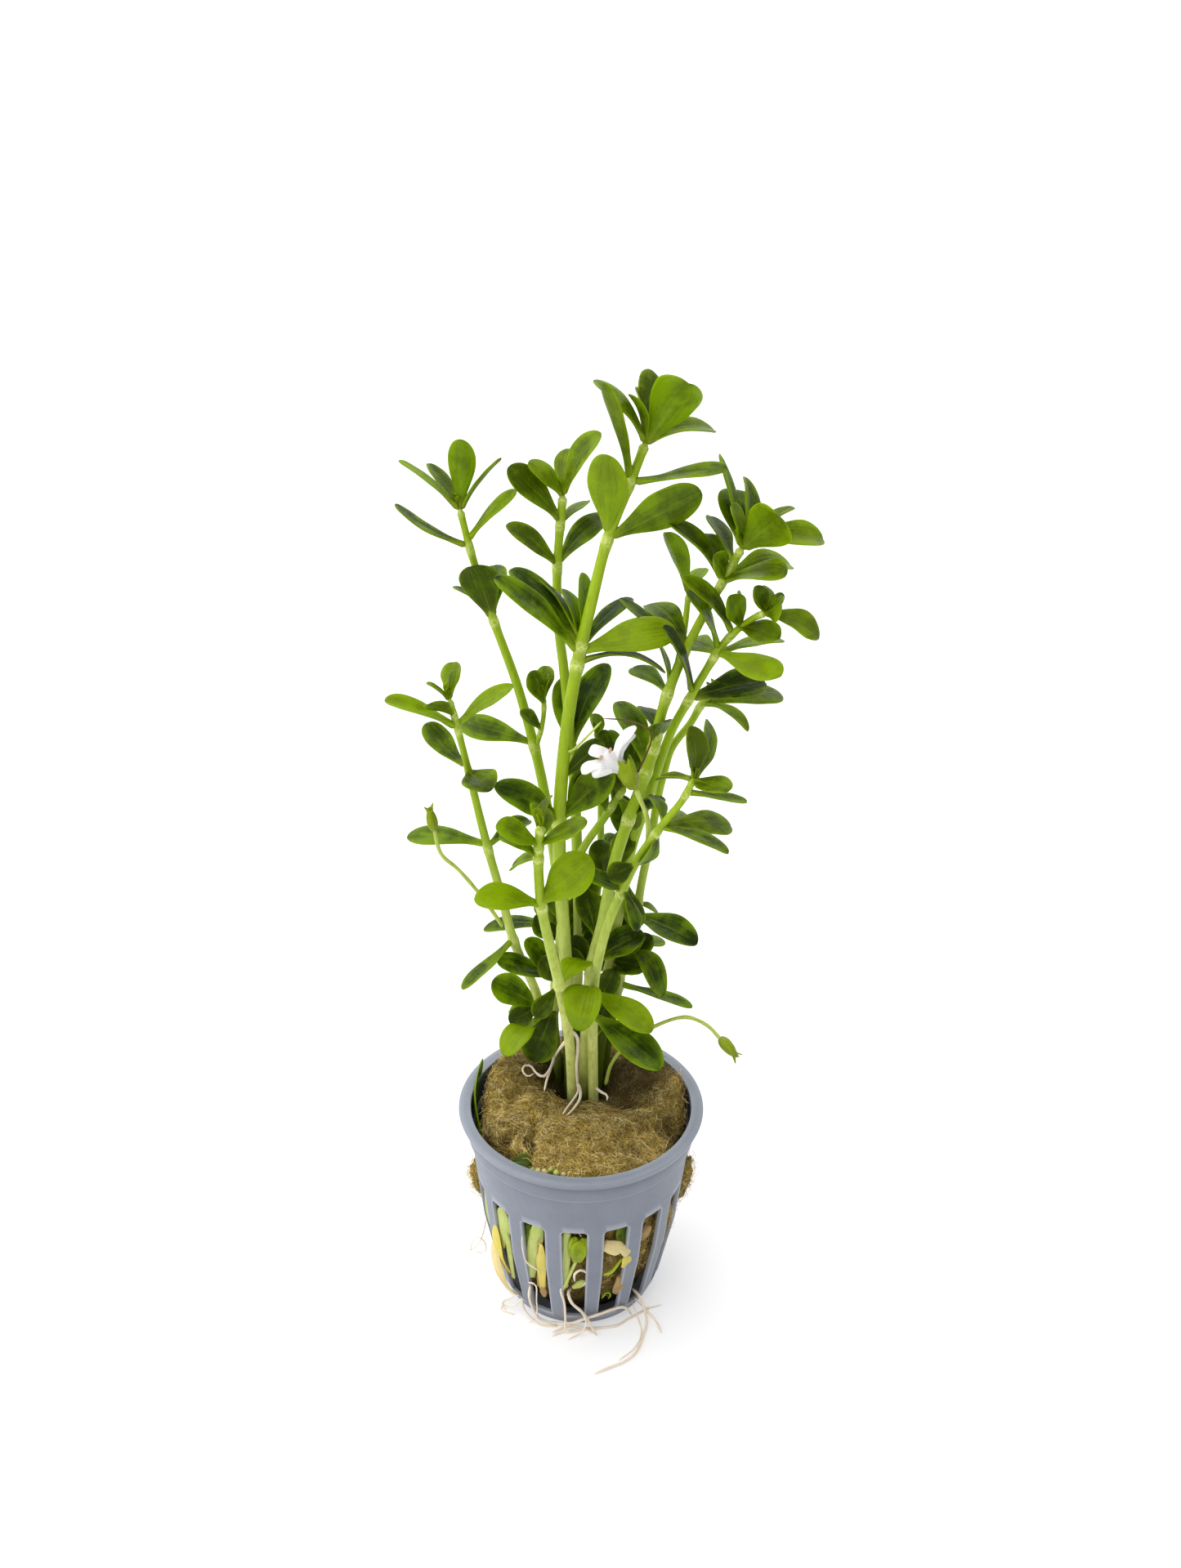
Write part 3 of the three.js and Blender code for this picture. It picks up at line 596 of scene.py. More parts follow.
class Patterns:
    """The effects that several finishes share, each built once."""

    PATCH_EDGES = (0.34, 0.66)
    GRAIN_FINENESS = 7.0
    STREAKS_ACROSS = 9.0
    STREAKS_ALONG = 1.6
    DRIFT = (40.0, 40.0, 40.0)

    def __init__(self) -> None:
        """Builds the groups."""
        self.mottle = self._mottle()
        self.veins = self._veins()

    def _mottle(self) -> NodeTree:
        """Builds uneven colour: broad patches with finer ones in them.

        Returns:
            The group.
        """
        tree, enter, leave = new_group(
            "mottle", [("Vector", "NodeSocketVector"), ("Scale", "NodeSocketFloat")], ["Patches", "Grain"])
        place, scale = enter.outputs["Vector"], enter.outputs["Scale"]
        broad = tree.node("ShaderNodeTexNoise",
                          {"Vector": place, "Scale": scale, "Detail": 4.0, "Roughness": 0.6})
        fine = tree.node("ShaderNodeTexNoise",
                         {"Vector": place, "Scale": tree.times(scale, self.GRAIN_FINENESS), "Detail": 2.0})
        tree.feed(leave.inputs["Patches"], tree.ramp(broad.outputs["Fac"], *self.PATCH_EDGES))
        tree.feed(leave.inputs["Grain"], fine.outputs["Fac"])
        return tree.tree

    def _veins(self) -> NodeTree:
        """Builds a blade's midrib, faint lengthwise streaks, rim and foot, from its blade marks.

        Returns:
            The group.
        """
        tree, enter, leave = new_group(
            "veins", [("Blade", "NodeSocketVector"), ("Object", "NodeSocketVector")],
            ["Midrib", "Streaks", "Rim", "Thin", "Foot"])
        blade = tree.parts(enter.outputs["Blade"])
        across, along = tree.math("ABSOLUTE", blade["X"]), blade["Y"]
        near = tree.less(1.0, tree.ramp(across, 0.0, 0.12))
        fade = tree.less(1.0, tree.ramp(along, 0.3, 0.9))
        fan = tree.node("ShaderNodeCombineXYZ", {"X": tree.times(blade["X"], self.STREAKS_ACROSS),
                                                 "Y": tree.times(along, self.STREAKS_ALONG), "Z": blade["Z"]})
        drift = tree.scaled(enter.outputs["Object"], self.DRIFT)
        place = tree.node("ShaderNodeVectorMath", {0: fan.outputs[0], 1: drift}, operation="ADD")
        results = {
            "Midrib": tree.times(near, fade),
            "Streaks": tree.noise(place.outputs[0], 1.0, 2.0),
            "Rim": tree.ramp(across, 0.88, 1.0),
            "Thin": tree.ramp(across, 0.35, 1.0),
            "Foot": tree.less(1.0, tree.ramp(along, 0.02, 0.26)),
        }
        for label, socket in results.items():
            tree.feed(leave.inputs[label], socket)
        return tree.tree


class Finish:
    """What every finish has: a material with a Principled shader, and object coordinates."""

    def __init__(self, name: str) -> None:
        """Starts the material.

        Args:
            name: Its name.
        """
        self.material = bpy.data.materials.new(name)
        self.material.use_nodes = True
        self.tree = Tree(self.material.node_tree)
        self.shader = self.material.node_tree.nodes["Principled BSDF"]
        self.place = self.tree.node("ShaderNodeTexCoord").outputs["Object"]

    def paint(self, colour: Socket, roughness: object) -> None:
        """Gives the shader its colour and its roughness.

        Args:
            colour: The colour over the surface.
            roughness: A socket, or the value where it is the same all over.
        """
        self.tree.feed(self.shader.inputs["Base Color"], colour)
        self.tree.feed(self.shader.inputs["Roughness"], roughness)

    def shine(self, specular: float) -> None:
        """Sets how strongly the plain surface mirrors."""
        self.shader.inputs["Specular IOR Level"].default_value = specular

    def emboss(self, height: Socket, strength: float, depth: float) -> None:
        """Joins a height to the shader's Normal.

        Args:
            height: The relief, from 0 to 1.
            strength: How much of it shows.
            depth: Its full height in metres.
        """
        made = self.tree.node("ShaderNodeBump", {"Height": height, "Strength": strength, "Distance": depth})
        self.tree.feed(self.shader.inputs["Normal"], made.outputs["Normal"])

    def let_through(self, colour: Socket, share: float) -> None:
        """Lets part of the light pass through the piece and come out soft on its other side.

        Args:
            colour: What it colours the light.
            share: How much of the light passes.
        """
        through = self.tree.node("ShaderNodeBsdfTranslucent", {"Color": colour})
        both = self.tree.node("ShaderNodeMixShader",
                              {0: share, 1: self.shader.outputs[0], 2: through.outputs[0]})
        self.tree.feed(self.material.node_tree.nodes["Material Output"].inputs["Surface"], both.outputs[0])


def rgb(*display: int) -> Colour:
    """The linear values that a shader takes for a display colour's red, green and blue, 0 to 255."""
    shares = (value / 255 for value in display)
    return tuple(share / 12.92 if share <= 0.04045 else ((share + 0.055) / 1.055) ** 2.4 for share in shares)


@dataclass(frozen=True)
class Greens:
    """Colours of a leaf: its upper face, its under side, its rib and foot, and the light through it."""

    deep: Colour = rgb(50, 70, 0)
    mid: Colour = rgb(124, 148, 0)
    bright: Colour = rgb(172, 194, 4)
    under: Colour = rgb(126, 150, 34)
    rib: Colour = rgb(186, 206, 60)
    through: Colour = rgb(200, 226, 0)
    through_deep: Colour = rgb(104, 130, 0)


class LeafFinish(Finish):
    """Fleshy glossy green, darker in patches, with a faint midrib and a paler foot, lit through."""

    PATCH_SCALE = 230.0
    PATCHY = 0.75
    STREAKY = 0.9
    # Thin margins are lighter by this share: painted light shining through them.
    THIN_LIGHTER = 0.5

    def __init__(self, patterns: Patterns, name: str = "leaf_green", greens: Greens = Greens(),
                 through: float = 0.4) -> None:
        """Builds the material.

        Args:
            patterns: The shared effects.
            name: The material's name.
            greens: Its colours.
            through: The share of light that passes through.
        """
        super().__init__(name)
        tree = self.tree
        blade = tree.attribute("blade")
        tint = tree.parts(tree.attribute("tint"))
        mottle = tree.group(patterns.mottle, {"Vector": self.place, "Scale": self.PATCH_SCALE})
        veins = tree.group(patterns.veins, {"Blade": blade, "Object": self.place})
        lower = tree.less(1.0, tree.parts(blade)["Z"])
        patchy = tree.times(tree.less(mottle["Patches"], 0.5), self.PATCHY)
        streaky = tree.times(tree.less(veins["Streaks"], 0.5), self.STREAKY)
        # thin lightens the blade towards its margins, as painted light shining through.
        thin = tree.times(tree.less(veins["Thin"], 0.3), self.THIN_LIGHTER)
        # tint X is the blade's tone, painted bright on lit leaves and dark on shaded and inner ones.
        tone = tree.plus(tree.plus(tint["X"], patchy), tree.plus(streaky, thin), clamp=True)
        colour = tree.mix(tone, greens.deep, greens.mid)
        # The rim's mix towards bright is painted light shining through the thin margin.
        for share, tinge in ((tint["Y"], greens.bright), (tree.times(lower, 0.5), greens.under),
                             (tree.times(veins["Midrib"], 0.35), greens.rib),
                             (tree.times(veins["Rim"], 0.5), greens.bright),
                             (tree.times(veins["Foot"], 0.8), greens.rib)):
            colour = tree.mix(share, colour, tinge)
        self.paint(colour, tree.plus(0.24, tree.times(mottle["Patches"], 0.22)))
        self.shine(0.22)
        for name, value in (("Coat Weight", 0.3), ("Coat Roughness", 0.12), ("Coat IOR", 1.33)):
            self.shader.inputs[name].default_value = value
        self.emboss(tree.plus(veins["Streaks"], tree.times(mottle["Grain"], 0.5)), 0.7, 0.0004)
        self.let_through(tree.mix(tone, greens.through_deep, greens.through), through)


class StemFinish(Finish):
    """Fleshy lime green with paler joints, faint lengthwise streaks and painted shade deep in the bunch."""

    LOW = rgb(238, 242, 160)
    HIGH = rgb(170, 196, 30)
    JOINT = rgb(230, 236, 150)
    STAIN = rgb(136, 154, 30)
    THROUGH = rgb(196, 222, 20)
    # SHADE is painted shade, for the stem deep in the bunch.
    SHADE = rgb(88, 104, 18)
    PATCH_SCALE = 260.0
    STREAK_SCALE = 1600.0
    STREAK_STRETCH = (1.0, 1.0, 0.12)

    def __init__(self, patterns: Patterns) -> None:
        """Builds the material.

        Args:
            patterns: The shared effects.
        """
        super().__init__("stem_lime")
        tree = self.tree
        tint = tree.parts(tree.attribute("tint"))
        streak = tree.noise(tree.scaled(self.place, self.STREAK_STRETCH), self.STREAK_SCALE, 2.0)
        mottle = tree.group(patterns.mottle, {"Vector": self.place, "Scale": self.PATCH_SCALE})
        colour = tree.mix(tint["Y"], self.LOW, self.HIGH)
        colour = tree.mix(tree.times(tree.ramp(streak, 0.45, 0.75), 0.32), colour, self.STAIN)
        colour = tree.mix(tree.times(mottle["Patches"], 0.22), colour, self.STAIN)
        speckle = tree.times(tint["Z"], tree.ramp(mottle["Grain"], 0.3, 0.6))
        # tint X is the stem's share of light; where it falls, the colour turns to SHADE as painted shade.
        colour = tree.mix(tint["X"], self.SHADE, tree.mix(speckle, colour, self.JOINT))
        self.paint(colour, tree.plus(0.28, tree.times(mottle["Grain"], 0.22)))
        self.emboss(tree.plus(streak, mottle["Grain"]), 0.4, 0.00018)
        self.let_through(tree.mix(0.4, colour, self.THROUGH), 0.22)


class FleshFinish(Finish):
    """A thin soft part of one main colour with patches of a second: petals, roots and old leaves."""

    SPOTTED = 0.35

    def __init__(self, patterns: Patterns, name: str, main: Colour, patch: Colour, scale: float,
                 roughness: float, through: float) -> None:
        """Builds the material.

        Args:
            patterns: The shared effects.
            name: Its name.
            main: Its main colour.
            patch: The colour of its patches, and of its scars.
            scale: How fine the patches are, in waves to the metre.
            roughness: Its least roughness.
            through: The share of light that passes through.
        """
        super().__init__(name)
        tree = self.tree
        tint = tree.parts(tree.attribute("tint"))
        veins = tree.group(patterns.veins, {"Blade": tree.attribute("blade"), "Object": self.place})
        mottle = tree.group(patterns.mottle, {"Vector": self.place, "Scale": scale})
        spots = tree.times(mottle["Patches"], self.SPOTTED)
        share = tree.plus(spots, tree.times(veins["Streaks"], 0.25), clamp=True)
        colour = tree.mix(tint["Z"], tree.mix(share, main, patch), patch)
        self.paint(colour, tree.plus(roughness, tree.times(mottle["Grain"], 0.15)))
        self.emboss(tree.plus(veins["Streaks"], mottle["Grain"]), 0.4, 0.0002)
        self.let_through(colour, through)


class PlasticFinish(Finish):
    """Satin grey moulded plastic, with a painted highlight along its edges."""

    BODY = rgb(132, 137, 148)
    DULL = rgb(118, 123, 134)
    WORN = rgb(190, 194, 200)
    PATCH_SCALE = 90.0
    FLOW_SCALE = 700.0
    FLOW_STRETCH = (1.0, 1.0, 0.08)

    def __init__(self, patterns: Patterns) -> None:
        """Builds the material.

        Args:
            patterns: The shared effects.
        """
        super().__init__("pot_plastic")
        tree = self.tree
        edge = tree.attribute("edge", "Fac")
        mottle = tree.group(patterns.mottle, {"Vector": self.place, "Scale": self.PATCH_SCALE})
        flow = tree.noise(tree.scaled(self.place, self.FLOW_STRETCH), self.FLOW_SCALE, 3.0)
        colour = tree.mix(tree.times(mottle["Patches"], 0.5), self.BODY, self.DULL)
        colour = tree.mix(tree.times(flow, 0.3), colour, self.DULL)
        # The edge mark is a painted highlight on the rounded edges.
        colour = tree.mix(tree.times(edge, 0.5), colour, self.WORN)
        self.paint(colour, tree.plus(0.34, tree.times(mottle["Grain"], 0.22)))
        self.emboss(tree.plus(flow, mottle["Grain"]), 0.25, 0.0001)


class WoolFinish(Finish):
    """Damp fibrous rock wool: matted golden strands painted lit, painted shade in gaps and moist patches."""

    MAIN = rgb(200, 178, 110)
    GOLDEN = rgb(212, 184, 88)
    PALE = rgb(238, 220, 164)
    DARK = rgb(112, 92, 50)
    # The colour of moist wool, which also stands as painted shade.
    DAMP = rgb(56, 46, 28)
    PATCH_SCALE = 110.0
    STRAND_SCALE = 2300.0
    STRAND_LIES = ((1.0, 0.16, 0.4), (0.16, 1.0, 0.4), (0.5, 0.5, 1.4))

    def __init__(self, patterns: Patterns) -> None:
        """Builds the material.

        Args:
            patterns: The shared effects.
        """
        super().__init__("rock_wool_mat")
        tree = self.tree
        mottle = tree.group(patterns.mottle, {"Vector": self.place, "Scale": self.PATCH_SCALE})
        damp = tree.attribute("damp", "Fac")
        matted: Optional[Socket] = None
        for lie in self.STRAND_LIES:
            fine = tree.noise(tree.scaled(self.place, lie), self.STRAND_SCALE, 2.0, 1.8)
            strand = tree.ramp(fine, 0.4, 0.72)
            matted = tree.math("MAXIMUM", matted, strand) if matted else strand
        base = tree.mix(mottle["Patches"], self.GOLDEN, self.MAIN)
        # The gaps between strands are painted dark as shade, and the strands painted pale as lit.
        shaded = tree.mix(tree.times(tree.less(1.0, matted), 0.6), base, self.DARK)
        lit = tree.mix(tree.times(matted, tree.ramp(mottle["Grain"], 0.45, 0.75)), shaded, self.PALE)
        # The moist mark darkens the wool: partly real moisture, partly painted shade.
        self.paint(tree.mix(tree.times(damp, 0.8), lit, self.DAMP), 0.9)
        self.shine(0.2)
        self.emboss(matted, 0.9, 0.0006)


class FibreFinish(Finish):
    """A single strand of rock wool: its tone its own, and darker where the wool is moist and painted shaded.
    """

    def __init__(self, name: str, light: Colour, dark: Colour) -> None:
        """Builds the material.

        Args:
            name: Its name.
            light: The palest strands.
            dark: The darkest strands.
        """
        super().__init__(name)
        tree = self.tree
        tone = tree.ramp(tree.noise(self.place, 420.0, 3.0), 0.38, 0.62)
        # Strands darken with the wool's moist mark, which is partly painted shade.
        darkened = tree.times(tree.attribute("damp", "Fac"), 0.62)
        self.paint(tree.mix(darkened, tree.mix(tone, dark, light), WoolFinish.DAMP), 0.5)
        self.shine(0.35)


class Wardrobe:
    """Every finish of the object, made once."""

    def __init__(self) -> None:
        """Makes the materials."""
        patterns = Patterns()
        soft = partial(FleshFinish, patterns)
        self.leaf = LeafFinish(patterns).material
        self.stem = StemFinish(patterns).material
        self.plastic = PlasticFinish(patterns).material
        self.wool = WoolFinish(patterns).material
        self.fibre_pale = FibreFinish("fibre_pale", rgb(242, 228, 182), rgb(200, 178, 122)).material
        self.fibre_golden = FibreFinish("fibre_golden", rgb(236, 208, 120), rgb(190, 162, 80)).material
        self.fibre_brown = FibreFinish("fibre_brown", rgb(184, 162, 100), rgb(118, 98, 54)).material
        self.petal = soft("petal_white", rgb(255, 255, 255), rgb(248, 246, 246), 400.0, 0.5, 0.36).material
        self.anther = soft("anther_brown", rgb(226, 190, 168), rgb(190, 142, 118), 900.0, 0.6, 0.1).material
        self.calyx = LeafFinish(patterns, "calyx_green", Greens(
            deep=rgb(134, 156, 20), mid=rgb(176, 194, 40), bright=rgb(196, 210, 60),
            under=rgb(160, 180, 60), rib=rgb(204, 216, 96), through=rgb(206, 226, 20),
            through_deep=rgb(160, 190, 10)), 0.3).material
        self.root = soft("root_pale", rgb(252, 244, 230), rgb(232, 216, 192), 500.0, 0.4, 0.3).material
        self.dried = soft("dried_brown", rgb(112, 92, 44), rgb(76, 66, 30), 700.0, 0.6, 0.1).material
        self.pale = soft("strap_pale", rgb(224, 230, 150), rgb(184, 204, 96), 260.0, 0.35, 0.35).material
        self.yellow = soft("leaf_yellow", rgb(250, 236, 140), rgb(226, 216, 104), 260.0, 0.4, 0.4).material
        self.beige = soft("leaf_beige", rgb(246, 234, 182), rgb(226, 206, 140), 260.0, 0.5, 0.35).material
        self.withered = soft(
            "leaf_withered", rgb(206, 178, 124), rgb(146, 110, 66), 300.0, 0.55, 0.3).material


class Tone(Enum):
    """Which finish an old leaf or a scrap takes, and the name that the wardrobe has for it."""

    GREEN = "leaf"
    LIME = "calyx"
    PALE = "pale"
    YELLOW = "yellow"
    BEIGE = "beige"
    WITHERED = "withered"
    ROOT = "root"

    @property
    def slot(self) -> int:
        """Its place among the materials of a piece that has all tones."""
        return list(Tone).index(self)

    @staticmethod
    def materials(wardrobe: Wardrobe) -> list[Material]:
        """The materials of all tones, in their order."""
        return [getattr(wardrobe, tone.value) for tone in Tone]


@dataclass
class NetPot:
    """The pot: a tapered cup of one wall, a flat lip, a closed base and a ring of tall slots."""

    columns_in_slot: int = 5
    columns_in_bar: int = 6
    slot_bottom: float = 3.5
    slot_top: float = 32.0
    slot_width_bottom: float = 4.4
    slot_width_top: float = 5.5
    slot_corner: float = 0.9
    wall: float = 1.0
    base_radius: float = 17.4
    floor_thickness: float = 1.5
    lip_depth: float = 1.8
    lip_inner: float = 24.3
    ledge_height: float = 41.9
    ledge_depth: float = 0.7
    edge_round: float = 0.13
    # How strongly the ledge's and lip's edges take the painted highlight.
    ledge_wear: float = 0.9
    lip_wear: float = 0.25
    outline: Sequence[Pair] = (
        (0.0, 17.4), (5.0, 19.2), (20.0, 22.2), (36.0, 23.9), (46.2, 24.9),
    )

    def __post_init__(self) -> None:
        """Reads the pot's size from the frame."""
        low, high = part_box("net_pot")
        self.rim_radius = (high.x - low.x) / 2 / MM
        self.height = high.z / MM

    def radius_at(self, height: float) -> float:
        """Outer radius of the wall.

        Args:
            height: The height in millimetres.

        Returns:
            The radius there, in millimetres.
        """
        for (low, near), (high, far) in zip(self.outline, self.outline[1:]):
            if height <= high:
                share = (height - low) / (high - low)
                ledge = smoothstep(self.ledge_height - 0.15, self.ledge_height + 0.1, height)
                return near + (far - near) * share + self.ledge_depth * ledge
        return self.outline[-1][1]

    def half_slot(self, height: float) -> float:
        """Half the width of a slot, with its upper corners rounded.

        Args:
            height: The height in millimetres.

        Returns:
            The half width there as an angle about the axis, in radians.
        """
        z = min(self.slot_top, max(self.slot_bottom, height))
        share = (z - self.slot_bottom) / (self.slot_top - self.slot_bottom)
        half = (self.slot_width_bottom + (self.slot_width_top - self.slot_width_bottom) * share) / 2
        into = max(0.0, z - (self.slot_top - self.slot_corner)) / self.slot_corner
        half -= self.slot_corner * (1 - sqrt(max(0.0, 1 - into * into)))
        return half / self.radius_at(z)

    def wall_heights(self) -> list[float]:
        """Heights of the rows of the wall, close together where it curves.

        Returns:
            The heights in millimetres, from the slots' foot to the lip.
        """
        corner = [self.slot_top - self.slot_corner * (1 - sin(pi / 2 * k / 5)) for k in range(6)]
        plain = [self.slot_bottom, 5.0, 8.0, 12.0, 16.0, 20.0, 24.0, 28.0]
        upper = [34.0, 37.0, 39.5, 41.0, 41.6, 41.75, 41.84, 41.92, 42.0, 42.2, 43.4, 45.0]
        return plain + corner + upper

    def profile(self) -> list[Pair]:
        """The pot's half section.

        Returns:
            Radius and height of its points, from the inner floor's middle round to the base's.
        """
        heights = self.wall_heights()
        top, rim = self.height, self.rim_radius
        lip_foot = top - self.lip_depth
        inner = [(self.radius_at(z) - self.wall, z) for z in heights]
        outer = [(self.radius_at(z), z) for z in reversed(heights)]
        inside, foot, level = self.lip_inner, self.base_radius, self.floor_thickness
        under_lip = self.radius_at(lip_foot)
        floor = [(0.0, level), (9.0, level), (foot - 0.9, level), (foot - 0.2, level + 0.7)]
        lip = [(inside, top - 1.2), (inside, top - 0.3), (inside + 0.09, top - 0.09), (inside + 0.3, top),
               (rim - 1.4, top), (rim - 0.28, top), (rim - 0.07, top - 0.07), (rim, top - 0.26),
               (rim - 0.5, lip_foot + 0.2), (rim - 0.6, lip_foot + 0.05), (rim - 0.8, lip_foot),
               (under_lip + 0.3, lip_foot), (under_lip + 0.08, lip_foot - 0.1)]
        base = [(foot + 0.3, 1.2), (foot, 0.45), (foot - 0.16, 0.12), (foot - 0.5, 0.0), (9.0, 0.0),
                (0.0, 0.0)]
        return floor + inner + lip + outer + base

    def build(self, wardrobe: Wardrobe) -> None:
        """Spins the section, opens the slots and rounds their edges.

        Args:
            wardrobe: The finishes.
        """
        bm = bmesh.new()
        edge_layer = bm.verts.layers.float.new("edge")
        columns = SLOTS * (self.columns_in_slot + self.columns_in_bar)
        spin_profile(bm, self.profile(), columns)
        column_of = {vert: round(atan2(vert.co.y, vert.co.x) / (2 * pi) * columns) % columns
                     for vert in bm.verts}
        for vert in bm.verts:
            self._turn_to_slot(vert, column_of[vert])
        holes = [face for face in bm.faces if self._in_slot(face, column_of)]
        bmesh.ops.delete(bm, geom=holes, context="FACES")
        self._line_slots(bm, column_of)
        bmesh.ops.recalc_face_normals(bm, faces=bm.faces[:])
        self._wear_edges(bm, edge_layer)
        register(place_piece("pot_shell", bm, [wardrobe.plastic], crease=38), ["net_pot"])

    def _turn_to_slot(self, vert: BMVert, column: int) -> None:
        """Turns a vertex about the axis, so that its column follows the edge of a slot or a bar.

        Args:
            vert: The vertex.
            column: Its column in the full turn.
        """
        per = self.columns_in_slot + self.columns_in_bar
        sector, place = divmod(column, per)
        half = self.half_slot(vert.co.z / MM)
        if place <= self.columns_in_slot:
            angle = half * (2 * place / self.columns_in_slot - 1)
        else:
            angle = half + (SLOT_PITCH - 2 * half) * (place - self.columns_in_slot) / self.columns_in_bar
        angle += radians(FIRST_SLOT) + sector * SLOT_PITCH
        radius = vert.co.xy.length
        vert.co.x, vert.co.y = radius * cos(angle), radius * sin(angle)

    def _in_slot(self, face: BMFace, column_of: dict) -> bool:
        """Whether a face of the plain wall lies where a slot is open.

        Args:
            face: The face.
            column_of: The column of each vertex.

        Returns:
            True if the face goes.
        """
        per = self.columns_in_slot + self.columns_in_bar
        places = [column_of[v] % per for v in face.verts]
        heights = [v.co.z / MM for v in face.verts]
        radii = [v.co.xy.length / MM for v in face.verts]
        inside = all(p <= self.columns_in_slot for p in places)
        level = min(heights) > self.slot_bottom - 0.01 and max(heights) < self.slot_top + 0.01
        return inside and level and min(radii) > self.base_radius - 1

    def _line_slots(self, bm: BMesh, column_of: dict) -> None:
        """Joins the outer and inner edge of each slot by its side walls.

        Args:
            bm: The pot's mesh, with the slots' faces gone.
            column_of: The column of each vertex.
        """
        per = self.columns_in_slot + self.columns_in_bar
        by_slot: dict[int, list] = {}
        for edge in bm.edges:
            if edge.is_boundary:
                by_slot.setdefault(column_of[edge.verts[0]] // per, []).append(edge)
        for edges in by_slot.values():
            bmesh.ops.bridge_loops(bm, edges=edges)

    def _wear_edges(self, bm: BMesh, edge_layer: object) -> None:
        """Rounds the rims of the slots, and marks them and the edges of lip and ledge for a painted
        highlight.

        Args:
            bm: The pot's mesh.
            edge_layer: Where the marks go.
        """
        sharp = [edge for edge in bm.edges
                 if edge.calc_face_angle(0.0) > radians(50)
                 and self.slot_bottom - 0.1 < edge.verts[0].co.z / MM < self.slot_top + 0.1
                 and edge.verts[0].co.xy.length > (self.base_radius - 0.5) * MM]
        made = bmesh.ops.bevel(bm, geom=sharp, offset=self.edge_round * MM, offset_type="OFFSET", segments=2,
                               profile=0.5, affect="EDGES", material=-1, clamp_overlap=True)
        for vert in made["verts"]:
            vert[edge_layer] = 1.0
        for vert in bm.verts:
            height, reach = vert.co.z / MM, vert.co.xy.length / MM
            on_lip = height > self.height - 0.3 and not self.lip_inner + 0.4 < reach < self.rim_radius - 0.35
            on_ledge = abs(height - self.ledge_height - 0.1) < 0.13 and reach > self.radius_at(height) - 0.1
            if on_lip or on_ledge:
                vert[edge_layer] = self.ledge_wear if on_ledge else self.lip_wear


